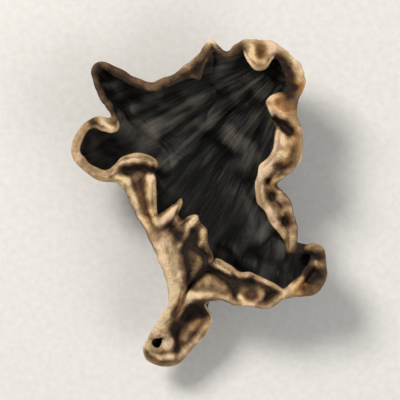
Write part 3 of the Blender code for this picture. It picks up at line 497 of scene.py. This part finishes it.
def fan(points):
    """Coordinates of the streaks: across them by the first two, along them by the third."""
    away = points[..., :2] - np.array(FAN_CENTRE) * DRAWN_MM
    distance = np.linalg.norm(away, axis=-1, keepdims=True)
    return np.concatenate([away / np.maximum(distance, FAN_START), distance / STREAK_LENGTH], axis=-1)


def crumple(points):
    """How smooth waves move each point a little to and fro, so that no wall is even. The floor stays flat."""
    x, y, z = np.moveaxis(points * (2 * math.pi / CRUMPLE_LENGTH), -1, 0)
    waves = np.stack([
        np.sin(0.9 * y + 0.6 * z + 1.0) + 0.5 * np.sin(1.7 * y - 0.8 * x),
        np.sin(0.8 * x - 0.7 * z + 2.2) + 0.5 * np.sin(1.5 * x + 1.1 * y + 0.5),
        np.sin(0.7 * x + 0.8 * y + 0.3) + 0.5 * np.sin(1.3 * x - 1.4 * y + 1.9),
    ], axis=-1)
    away = np.linalg.norm(points[..., :2], axis=-1, keepdims=True)
    return CRUMPLE_DEPTH * waves * np.clip(away / FLOOR_RADIUS - 1, 0, 1)


def band_marks(roll, crest, edge, sink, tones, share):
    """How far each point of the rolled band sinks between its ridges, and how pale it is there."""
    waver = noise_at(roll, MARK_LENGTH, noise.noise_vector)[..., :2]
    plan = roll[..., :2] / DRAWN_MM + MARK_WAVER * waver
    from_crest = np.linalg.norm(roll - crest[:, None], axis=-1)
    from_edge = np.linalg.norm(roll - edge[:, None], axis=-1)
    off_crest = 1 - bell(from_crest, CREST_RIDGE)

    valley = np.prod([1 - height * near(plan, line, width) for width, height, *line in RIDGES], axis=0)
    edge_ridge = np.clip(EDGE_RIDGE_RISE * (tones[:, 1:] - EDGE_RIDGE_TONE), 0, 1)
    valley *= 1 - edge_ridge * bell(from_edge, EDGE_RIDGE)
    fill = VALLEY_FILL[0] + VALLEY_FILL[1] * noise_at(roll + VALLEY_SHIFT, VALLEY_LENGTH)
    valley = off_crest * (1 - np.clip((1 - valley) * fill, 0, 1))
    pit = marks(plan, PITS)
    dents = marks(plan, DENTS)

    drop = VALLEY_DEPTH * valley + pit * DRAWN_MM + sink * np.sin(math.pi * share) ** 2
    drop -= dents * DRAWN_MM * np.sqrt(np.sin(math.pi * np.minimum(share, DENT_REACH)))
    drop *= off_crest
    drop = np.where(drop > 0, DEEPEST * np.tanh(drop / DEEPEST), drop)

    tone = tones[:, :1] * (1 - share) + tones[:, 1:] * share
    # Painted shade: the felt is darkened towards the bottom of each valley.
    valley_shade = 1 - VALLEY_SHADE * valley**VALLEY_SPREAD
    # Painted shade: the felt is darkened in the pits, and in the darker marks of the stains table.
    pale = (tone + RIDGE_PALENESS + marks(plan, STAINS_AND_SHADE)) * valley_shade - PIT_SHADE * np.clip(pit, 0, 1)
    return drop, pale


def sheet():
    """The middle of the sheet as points [station, row from the floor to the free edge]. Then the direction
    from the floor's middle to each station, and how pale the crest and each point of the roll are.
    """
    noise.seed_set(WAVER_SEED)
    margin = np.array(MARGIN)
    crests = margin[:, :3] * DRAWN_MM
    edges = margin[:, 4:7] * DRAWN_MM
    angles_and_sinks = np.stack([np.radians(margin[:, 3]), margin[:, 7] * DRAWN_MM], axis=1)
    places = even_places([crests, edges], STATIONS)
    crest = closed_curve(crests, places)
    edge = closed_curve(edges, places)
    steep, sink = np.split(closed_curve(angles_and_sinks, places), 2, axis=1)
    tones = [(crest_tone, edge_tone) for rows, crest_tone, edge_tone in PALENESS for _ in rows]
    tones = closed_curve(tones, places)

    along = np.roll(crest, -1, axis=0) - np.roll(crest, 1, axis=0)
    along[:, 2] = 0
    along = unit(smoothed(along, DIRECTION_SPREAD))
    out = np.stack([along[:, 1], -along[:, 0], np.zeros(STATIONS)], axis=1)
    up = np.array([0.0, 0.0, 1.0])
    crest = crest - SHEET_THICKNESS / 2 * out  # the rows of MARGIN give the sheet's outside
    crest += CREST_WAVER * noise_at(crest, WAVER_LENGTH, noise.noise_vector)
    edge += EDGE_WAVER * noise_at(edge, WAVER_LENGTH, noise.noise_vector)

    # The floor of the cup: its rim looks towards the crest, evened out so that lobes don't pinch it.
    bearing = np.unwrap(np.arctan2(crest[:, 1], crest[:, 0]))
    even = bearing[0] + np.arange(STATIONS) / STATIONS * 2 * math.pi
    bearing = even + smoothed(bearing - even, round(STATIONS * FLOOR_FADE))
    radial = np.stack([np.cos(bearing), np.sin(bearing), np.zeros(STATIONS)], axis=1)
    middle = np.array([0.0, 0.0, STUB_HEIGHT])
    floor_rim = middle + FLOOR_RADIUS * radial
    ring = np.arange(1, FLOOR_ROWS + 1)[:, None] / FLOOR_ROWS
    floor = middle + ring * (floor_rim - middle)[:, None]

    # The wall leaves the floor level and meets the crest at its own steepness. Its folds fade downwards.
    reach = np.linalg.norm(crest - floor_rim, axis=1, keepdims=True)
    rise = np.cos(steep) * out + np.sin(steep) * up
    height = 1 - (1 - np.arange(1, WALL_ROWS + 1) / WALL_ROWS) ** ROW_CROWDING
    wall = hermite(floor_rim, radial * reach, crest, rise * reach, height)
    for row, share in enumerate(height):
        wall[:, row] = smoothed(wall[:, row], round((1 - share) * STATIONS * FOLD_FADE))
    wall += crumple(wall) * (1 - height**2)[:, None]

    # The roll goes on from the wall, turns over no tighter than the sheet can, and ends at the free edge.
    width = np.linalg.norm(edge - crest, axis=1, keepdims=True)
    turn = np.minimum(np.sqrt(ROLL_TURN * width), width)
    share = np.arange(1, ROLL_ROWS + 1) / ROLL_ROWS
    roll = hermite(crest, rise * turn, edge, unit(edge - crest) * np.maximum(width, turn), share)
    drop, band_pale = band_marks(roll, crest, edge, sink, tones, share)
    roll[..., 2] -= drop

    points = np.concatenate([floor, wall, roll], axis=1)
    rows_off = np.abs(np.arange(points.shape[1]) - WALL_END)[:, None]
    smoothing = np.clip(2 - rows_off / CREST_SMOOTHING, 0, 1)
    points += (along_rows(points, CREST_SMOOTHING) - points) * smoothing
    return points, radial, tones[:, :1], band_pale


def normals_of(points):
    """The sheet's direction towards the cup at each point."""
    along = np.roll(points, -1, axis=0) - np.roll(points, 1, axis=0)
    outward = np.gradient(points, axis=1)
    normals = unit(np.cross(outward, along))
    # Where a stretch of the roll is skewed, its normal is kept pointing down into the cup.
    roll = normals[:, WALL_END + CREST_TURN[1]:]
    roll *= np.where(roll[..., 2:] > SKEWED, -1, 1)
    normals = unit(smoothed(normals, 1))
    # Over the crest they turn evenly from the wall's to the roll's.
    first, last = WALL_END - CREST_TURN[0], WALL_END + CREST_TURN[1]
    before = normals[:, first + 1 - CREST_MEAN:first + 1].mean(axis=1)
    after = normals[:, last:last + CREST_MEAN].mean(axis=1)
    for row in range(first, last + 1):
        share = (row - first) / (last - first)
        normals[:, row] = (1 - share) * before + share * after
        normals[:, row, 2] -= CREST_LEAN * math.sin(math.pi * share)
    return along_rows(unit(normals), 1)


def depth_below(points, normals, reach):
    """How far each point lies under the mean of the points around it, up to reach steps of the grid away."""
    mean = smoothed(points, reach)
    padded = np.pad(mean, [(0, 0), (reach, reach), (0, 0)], mode="reflect", reflect_type="odd")
    rows = points.shape[1]
    mean = sum(padded[:, step:step + rows] for step in range(2 * reach + 1)) / (2 * reach + 1)
    return ((mean - points) * normals).sum(axis=-1)


def hollowness(points, normals):
    """How deep in a hollow each point lies. Bumps are negative."""
    depths = (depth_below(points, normals, reach) * weight for reach, weight in HOLLOW_WEIGHTS)
    return sum(depths) / HOLLOW_DEPTH


def rings_below(start, radial):
    """The rings from start, on the sheet's outer side, down the neck and the stub and in over its cut."""
    bearing = np.arctan2(radial[:, 1], radial[:, 0])[:, None]
    heights, widths = np.array(STUB_PROFILE).T
    heights = heights * MM
    waves = sum(depth * np.sin(count * bearing + STUB_TURN) for count, depth in STUB_UNEVENNESS)
    even = STUB_RADIUS + (STUB_NECK_RADIUS - STUB_RADIUS) * heights / STUB_HEIGHT
    radial = radial[:, None]
    grooves = noise_at(radial * GROOVE_CROWDING + heights[:, None] * GROOVE_CHANGE, 1.0)
    stub = radial * (even * (1 + waves) * widths + GROOVE_DEPTH * grooves)[..., None]
    stub[..., 2] = heights
    down = np.tile([0.0, 0.0, -NECK_PULL], (STATIONS, 1))
    neck = hermite(start, -radial[:, 0] * NECK_PULL, stub[:, 0], down, np.array(NECK_RINGS))
    cut = stub[:, -1:] * np.array(CUT_RINGS)[:, None]
    return np.concatenate([neck, stub, cut], axis=1)


def ear_skin():
    """The ear's skin as points [station, ring], what its materials read there, each ring's step from station
    to station, and how many rings are on the inner side.
    """
    middle, radial, crest_pale, band_pale = sheet()
    rows = middle.shape[1]
    over = np.clip((np.arange(rows) - WALL_END + 1) / ROLL_ROWS, 0, 1)
    crest = middle[:, WALL_END - 1:WALL_END]
    edge = middle[:, -1:]
    on_band = over > 0
    down = np.linalg.norm(middle - crest, axis=-1) * ~on_band
    away = np.clip(np.linalg.norm(middle[..., :2], axis=-1) / FLOOR_RADIUS - CALM_FLOOR, 0, 1)

    # Crimps across the margin and wrinkles along the streaks bend the whole sheet.
    near_margin = np.clip(1 - down / CRIMP_REACH, 0, 1) * (1 - over**4)
    crimps = noise_at(crest + CRIMP_CHANGE * (middle - crest), CRIMP_LENGTH) * near_margin
    wrinkles = noise_at(fan(middle) * WRINKLE_SCALE, 1.0) * away * ~on_band
    bend = CRIMP_DEPTH * crimps + WRINKLE_DEPTH * wrinkles
    middle = middle + normals_of(middle) * bend[..., None]
    normals = normals_of(middle)

    half = SHEET_THICKNESS / 2 * (1 - EDGE_THINNING * over**4)
    streaks = noise_at(fan(middle) * STREAK_SCALE, 1.0)
    net = noise_at(middle, NET_LENGTH)
    felt = noise_at(middle + FELT_SHIFT, FELT_LENGTH)
    inner_relief = (STREAK_RELIEF * streaks + NET_RELIEF * net) * away
    outer_relief = FELT_RELIEF * felt + OUTER_NET_RELIEF * net
    # Under the roll, where tight turns leave no room, the inner side keeps close to the middle of the sheet.
    band_width = np.linalg.norm(edge - crest, axis=-1)
    band_room = np.interp(over, (BAND_ROOM_START, 1), (0, 1)) * np.interp(band_width, BAND_ROOM, (0, 1))
    room = LEAST_ROOM + (1 - LEAST_ROOM) * np.where(on_band, band_room, np.clip(down / CREST_ROOM, 0, 1))
    inner = middle + normals * ((half + inner_relief) * room)[..., None]
    outer = middle - normals * (half + outer_relief)[..., None]

    # The lip is round: it goes over the free edge from the inner side to the outer one.
    beyond = unit(middle[:, -1] - middle[:, -2])
    rim = (inner[:, -1] + outer[:, -1]) / 2
    side = (inner[:, -1] - outer[:, -1]) / 2
    turns = math.pi * np.arange(1, LIP_ROWS + 1) / (LIP_ROWS + 1)
    lip = [rim + math.cos(turn) * side + math.sin(turn) * half[-1] * beyond for turn in turns]

    first = FLOOR_ROWS + FIRST_OUTER_ROW
    below = rings_below(outer[:, first], radial)

    unevenness = 1 + PALE_UNEVENNESS * noise_at(middle, PALE_LENGTH)
    pale_outer = crest_pale * np.clip(1 - down / (PALE_REACH * unevenness), 0, 1) ** PALE_FALL
    pale_outer[:, WALL_END:] = band_pale
    to_edge = np.linalg.norm(middle - edge, axis=-1)
    pale_inner = band_pale[:, -1:] * np.clip(1 - to_edge / LIP_REACH, 0, 1)
    plan = middle[..., :2] / DRAWN_MM
    rust = np.where(on_band, marks(plan, RUST), 0)
    # Painted light and shade of the cup, kept off the rolled band.
    shade = np.where(on_band, 0, marks(plan, CUP_LIGHT_AND_SHADE))
    nothing = np.zeros(middle.shape[:2])

    def side_by_side(on_inner, on_outer, on_stub):
        """One value of the skin for all of its rings."""
        on_lip = np.repeat((on_inner[:, -1:] + on_outer[:, -1:]) / 2, LIP_ROWS, axis=1)
        on_below = np.full(below.shape[:2], on_stub)
        return np.concatenate([on_inner, on_lip, on_outer[:, :first - 1:-1], on_below], axis=1)

    values = {
        "pale": side_by_side(pale_inner, pale_outer, STUB_PALENESS),
        # hollow: painted shade in hollows and painted highlight on bumps, from how deep each point lies.
        "hollow": side_by_side(hollowness(inner, normals), hollowness(outer, -normals), 0.0),
        "felt": side_by_side(nothing, np.clip(down / PALE_REACH, 0, 1), 1.0),
        "rust": side_by_side(rust, rust, 0.0),
        "shade": side_by_side(shade, nothing, 0.0),
    }
    points = np.concatenate([inner, np.stack(lip, axis=1), outer[:, :first - 1:-1], below], axis=1)
    sheet_steps = FLOOR_STEPS + WALL_STEPS + [1] * ROLL_ROWS
    below_steps = [STUB_STEP] * (below.shape[1] - len(CUT_STEPS)) + CUT_STEPS
    steps = sheet_steps + [1] * LIP_ROWS + sheet_steps[:first - 1:-1] + below_steps
    return points, values, steps, rows + LIP_ROWS // 2


def joined(inner, outer):
    """Faces between two rings, one of which may have twice as many points as the other."""
    if len(inner) > len(outer):
        return [face[::-1] for face in joined(outer, inner)]
    faces = []
    for i in range(len(inner)):
        after = (i + 1) % len(inner)
        if len(outer) == len(inner):
            faces.append((inner[i], outer[i], outer[after], inner[after]))
        else:
            between = outer[2 * i + 1]
            faces.append((inner[i], outer[2 * i], between))
            faces.append((inner[i], between, inner[after]))
            faces.append((inner[after], between, outer[2 * after]))
    return faces


def flat_map(faces, points):
    """A place on the unit square for each corner of each face: the stations across, the rings upwards. The
    second half of the stations is a strip above the first. The poles, top and bottom, come after all rings.
    """
    ring_count = points.shape[1]
    top = STATIONS * ring_count
    sizes = [len(face) for face in faces]
    starts = np.cumsum([0] + sizes)[:-1]
    face_of = np.repeat(np.arange(len(faces)), sizes)
    corners = np.array([corner for face in faces for corner in face])
    at_pole = corners >= top
    station = corners // ring_count

    def ends():
        """The first and the last station of each corner's face."""
        first = np.minimum.reduceat(np.where(at_pole, STATIONS * 2, station), starts)
        last = np.maximum.reduceat(np.where(at_pole, -1, station), starts)
        return first[face_of], last[face_of]

    half = STATIONS // 2
    first, last = ends()
    station = np.where((last - first > half) & (station < half), station + STATIONS, station)
    first, last = ends()
    station = np.where(at_pole, (first + last) / 2, station)
    upper = first >= half
    runs = np.linalg.norm(np.diff(points, axis=1), axis=-1).mean(axis=0)
    heights = POLE_RUN + np.append(0, np.cumsum(runs))
    height = np.where(at_pole, 0, heights[corners % ring_count])
    height[corners == top + 1] = heights[-1] + POLE_RUN
    across = 1 - (station - half * upper) / half
    along = (height / (heights[-1] + POLE_RUN) + upper) / 2
    return np.stack([across, along * (1 - MAP_GAP) + MAP_GAP * upper], axis=1)


def ear_mesh():
    """The skin as a mesh, with its map and with what its materials read."""
    points, values, steps, inner_rings = ear_skin()
    ring_count = points.shape[1]
    rings = [(np.arange(0, STATIONS, step) * ring_count + ring).tolist() for ring, step in enumerate(steps)]
    faces, on_inner = [], []
    for number, (before, after) in enumerate(zip(rings, rings[1:])):
        new = joined(before, after)
        faces += new
        on_inner += [number < inner_rings] * len(new)
    top = STATIONS * ring_count
    bottom = top + 1
    for i in range(len(rings[0])):
        after = (i + 1) % len(rings[0])
        faces.append((top, rings[0][i], rings[0][after]))
        faces.append((bottom, rings[-1][after], rings[-1][i]))
        on_inner += [True, False]
    places = flat_map(faces, points)

    points = np.concatenate([points.reshape(-1, 3), [points[:, 0].mean(axis=0), points[:, -1].mean(axis=0)]])
    used = np.zeros(len(points), bool)
    used[[corner for face in faces for corner in face]] = True
    renumbered = np.cumsum(used) - 1
    faces = [tuple(renumbered[list(face)].tolist()) for face in faces]
    mesh = bpy.data.meshes.new("wood_ear_skin")
    mesh.from_pydata(points[used].tolist(), [], faces)
    mesh.uv_layers.new(name="OFBake").uv.foreach_set("vector", places.astype(np.float32).reshape(-1))
    mesh.polygons.foreach_set("material_index", [0 if inner else 1 for inner in on_inner])
    for name, value in values.items():
        value = np.append(value.reshape(-1), [value[:, 0].mean(), value[:, -1].mean()])
        mesh.attributes.new(name, "FLOAT", "POINT").data.foreach_set("value", value[used].astype(np.float32))
    streak = mesh.attributes.new("streak", "FLOAT_VECTOR", "POINT")
    streak.data.foreach_set("vector", fan(points[used]).astype(np.float32).reshape(-1))
    mesh.shade_smooth()
    mesh.update()
    return mesh


# ---- Materials ----

MARGIN_COLOURS = [
    (0.0, (0.014, 0.007, 0.0035)),
    (0.25, (0.052, 0.028, 0.013)),
    (0.5, (0.145, 0.088, 0.044)),
    (0.75, (0.33, 0.225, 0.125)),
    (1.0, (0.64, 0.485, 0.32)),
]
# The cup's charcoal. The paler stops stand partly for its satin sheen: painted highlights on the streaks.
CHARCOAL_AND_SHEEN_COLOURS = [
    (0.15, (0.0006, 0.0005, 0.0004)),
    (0.35, (0.0022, 0.002, 0.0017)),
    (0.5, (0.0125, 0.0114, 0.0099)),
    (0.65, (0.046, 0.0416, 0.0355)),
    (0.85, (0.085, 0.077, 0.0658)),
]
FELT_COLOURS = [
    (0.3, (0.028, 0.021, 0.016)),
    (0.5, (0.075, 0.058, 0.045)),
    (0.7, (0.15, 0.122, 0.1)),
]
TINTS = [(0.35, (1.04, 0.98, 1.0)), (0.65, (1.0, 1.0, 0.85))]
RUST_TINT = (1.3, 0.92, 0.5, 1.0)
FLOOR_COLOURS = [(0.3, (0.60, 0.59, 0.57)), (0.7, (0.66, 0.65, 0.63))]


class Nodes:
    """A material with a Principled shader, and short ways to add the nodes that drive it."""

    def __init__(self, name):
        self.material = bpy.data.materials.new(name)
        self.material.use_nodes = True
        self.tree = self.material.node_tree
        self.shader = self.tree.nodes["Principled BSDF"]

    def add(self, kind, inputs=(), **settings):
        node = self.tree.nodes.new(kind)
        for name, value in settings.items():
            setattr(node, name, value)
        for socket, value in dict(inputs).items():
            if isinstance(value, bpy.types.NodeSocket):
                self.tree.links.new(value, node.inputs[socket])
            else:
                node.inputs[socket].default_value = value
        return node

    def place(self):
        return self.add("ShaderNodeTexCoord").outputs["Object"]

    def attribute(self, name, output="Fac"):
        return self.add("ShaderNodeAttribute", attribute_name=name).outputs[output]

    def noise(self, vector, scale, detail=3.0):
        inputs = {"Vector": vector, "Scale": scale, "Detail": detail, "Roughness": 0.55}
        return self.add("ShaderNodeTexNoise", inputs).outputs["Fac"]

    def math(self, operation, first, second=0.0):
        return self.add("ShaderNodeMath", {0: first, 1: second}, operation=operation).outputs[0]

    def plus(self, first, second, factor=1.0):
        """first + factor * second"""
        if factor != 1.0:
            second = self.math("MULTIPLY", second, factor)
        return self.math("ADD", first, second)

    def scaled(self, vector, sizes):
        return self.add("ShaderNodeVectorMath", {0: vector, 1: sizes}, operation="MULTIPLY").outputs[0]

    def ranged(self, value, low, high, to_low, to_high):
        inputs = {"Value": value, "From Min": low, "From Max": high, "To Min": to_low, "To Max": to_high}
        return self.add("ShaderNodeMapRange", inputs).outputs["Result"]

    def mix(self, share, first, second, blend="MIX"):
        inputs = {0: share, 6: first, 7: second}
        return self.add("ShaderNodeMix", inputs, data_type="RGBA", blend_type=blend).outputs[2]

    def ramp(self, value, stops):
        node = self.add("ShaderNodeValToRGB", {"Fac": value})
        elements = node.color_ramp.elements
        while len(elements) < len(stops):
            elements.new(0.5)
        for element, (position, colour) in zip(elements, stops):
            element.position = position
            element.color = (*colour, 1)
        return node.outputs["Color"]

    def bump(self, height, distance, strength, normal=None):
        inputs = {"Height": height, "Distance": distance, "Strength": strength}
        if normal is not None:
            inputs["Normal"] = normal
        return self.add("ShaderNodeBump", inputs).outputs["Normal"]

    def finish(self, colour, roughness, normal, **constants):
        self.tree.links.new(colour, self.shader.inputs["Base Color"])
        self.tree.links.new(roughness, self.shader.inputs["Roughness"])
        self.tree.links.new(normal, self.shader.inputs["Normal"])
        for name, value in constants.items():
            self.shader.inputs[name.replace("_", " ")].default_value = value
        return self.material


def cup_material():
    """The inner side: charcoal, satin and finely streaked. Tan goes a little way over the lip."""
    nodes = Nodes("ear_cup")
    streak = nodes.attribute("streak", "Vector")
    hollow = nodes.attribute("hollow")
    pale = nodes.attribute("pale")
    coarse = nodes.noise(nodes.scaled(streak, (9.0, 9.0, 0.6)), 1.0)
    fine = nodes.noise(nodes.scaled(streak, (27.0, 27.0, 1.4)), 1.0)
    grain = nodes.noise(nodes.place(), 2200.0)
    # The paler streaks are partly painted sheen.
    shade = nodes.math("ADD", nodes.math("MULTIPLY", coarse, 0.45), nodes.math("MULTIPLY", fine, 0.55))
    # Painted shade in hollows and painted highlight on bumps.
    shade = nodes.plus(shade, hollow, -0.07)
    # The cup's painted highlights and painted shade.
    shade = nodes.plus(shade, nodes.attribute("shade"))
    charcoal = nodes.ramp(shade, CHARCOAL_AND_SHEEN_COLOURS)
    # The lip's tan gets painted shade in its hollows too.
    tan = nodes.ramp(nodes.plus(pale, hollow, -0.15), MARGIN_COLOURS)
    colour = nodes.mix(nodes.ranged(pale, 0.1, 0.5, 0.0, 1.0), charcoal, tan)
    roughness = nodes.ranged(fine, 0.3, 0.7, 0.48, 0.68)
    normal = nodes.bump(fine, 0.35 * MM, 0.9)
    normal = nodes.bump(grain, 0.04 * MM, 0.6, normal)
    return nodes.finish(colour, roughness, normal, Specular_IOR_Level=0.15)


def felt_material():
    """The outer side: pale tan on the rolled margin, and down the wall a grey-brown felt."""
    nodes = Nodes("ear_felt")
    place = nodes.place()
    hollow = nodes.attribute("hollow")
    blotches = nodes.noise(place, 450.0)
    grain = nodes.noise(place, 1800.0)
    fibres = nodes.noise(place, 6000.0)
    off_middle = nodes.math("ABSOLUTE", nodes.plus(nodes.noise(place, 900.0), -0.5))
    creases = nodes.ranged(off_middle, 0.0, 0.12, 0.0, 1.0)
    # Painted shade in hollows and painted highlight on bumps, here and in the grey felt below.
    shade = nodes.plus(nodes.attribute("pale"), hollow, -0.12)
    shade = nodes.plus(shade, nodes.ranged(blotches, 0.2, 0.8, -0.14, 0.14))
    shade = nodes.plus(shade, nodes.ranged(grain, 0.2, 0.8, -0.08, 0.08))
    tan = nodes.ramp(shade, MARGIN_COLOURS)
    tan = nodes.mix(1.0, tan, nodes.ramp(nodes.noise(place, 320.0, 2.0), TINTS), "MULTIPLY")
    tan = nodes.mix(nodes.attribute("rust"), tan, nodes.mix(1.0, tan, RUST_TINT, "MULTIPLY"))
    mottling = nodes.math("MULTIPLY", nodes.plus(blotches, grain), 0.5)
    grey = nodes.ramp(nodes.plus(mottling, hollow, -0.1), FELT_COLOURS)
    colour = nodes.mix(nodes.attribute("felt"), tan, grey)
    roughness = nodes.ranged(grain, 0.3, 0.7, 0.6, 0.85)
    normal = nodes.bump(creases, 0.12 * MM, 0.6)
    normal = nodes.bump(grain, 0.18 * MM, 0.8, normal)
    normal = nodes.bump(fibres, 0.06 * MM, 0.9, normal)
    return nodes.finish(colour, roughness, normal, Specular_IOR_Level=0.25)


def build_ear():
    mesh = ear_mesh()
    mesh.materials.append(cup_material())
    mesh.materials.append(felt_material())
    ear = bpy.data.objects.new("wood_ear_skin", mesh)
    bpy.context.scene.collection.objects.link(ear)
    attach(ear, "root")
    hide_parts("wood_ear")


# ---- Floor, light and camera ----

LOOK_AT = Vector((-1.3, 0.6, 9.0)) * MM
CAMERA_HEIGHT = 0.30  # over LOOK_AT
LENS = 170.0
FLOOR_SIZE = 2.0
FLOOR_GAP = 0.05 * MM  # under the cut
WORLD_COLOUR = (1.0, 0.98, 0.95, 1)
WORLD_STRENGTH = 0.35


def build_floor():
    bpy.ops.mesh.primitive_plane_add(size=FLOOR_SIZE, location=(0, 0, -FLOOR_GAP))
    floor = bpy.context.object
    floor.name = "floor"
    nodes = Nodes("pale_floor")
    speckle = nodes.noise(nodes.place(), 900.0)
    colour = nodes.ramp(speckle, FLOOR_COLOURS)
    roughness = nodes.ranged(speckle, 0.3, 0.7, 0.75, 0.85)
    floor.data.materials.append(nodes.finish(colour, roughness, nodes.bump(speckle, 0.02 * MM, 0.3)))


def add_area(name, place, size, power, colour=(1, 1, 1)):
    light = bpy.data.lights.new(name, "AREA")
    light.size = size
    light.energy = power
    light.color = colour
    lamp = bpy.data.objects.new(name, light)
    lamp.location = place
    lamp.rotation_euler = (LOOK_AT - lamp.location).to_track_quat("-Z", "Y").to_euler()
    bpy.context.scene.collection.objects.link(lamp)


def build_light():
    world = bpy.data.worlds.new("studio")
    world.use_nodes = True
    background = world.node_tree.nodes["Background"]
    background.inputs["Color"].default_value = WORLD_COLOUR
    background.inputs["Strength"].default_value = WORLD_STRENGTH
    bpy.context.scene.world = world
    add_area("key", place=(-0.22, 0.25, 0.38), size=0.16, power=2.6, colour=(1.0, 0.97, 0.92))
    add_area("fill", place=(0.30, -0.22, 0.30), size=0.30, power=1.0)


def build_camera():
    data = bpy.data.cameras.new("camera")
    data.lens = LENS
    data.clip_start = 0.01
    data.clip_end = 5.0
    camera = bpy.data.objects.new("camera", data)
    camera.location = LOOK_AT + Vector((0, 0, CAMERA_HEIGHT))  # without a turn it looks down, with +Y up
    bpy.context.scene.collection.objects.link(camera)
    bpy.context.scene.camera = camera


build_camera()
build_floor()
build_light()
build_ear()
bpy.context.scene.view_settings.view_transform = "Standard"
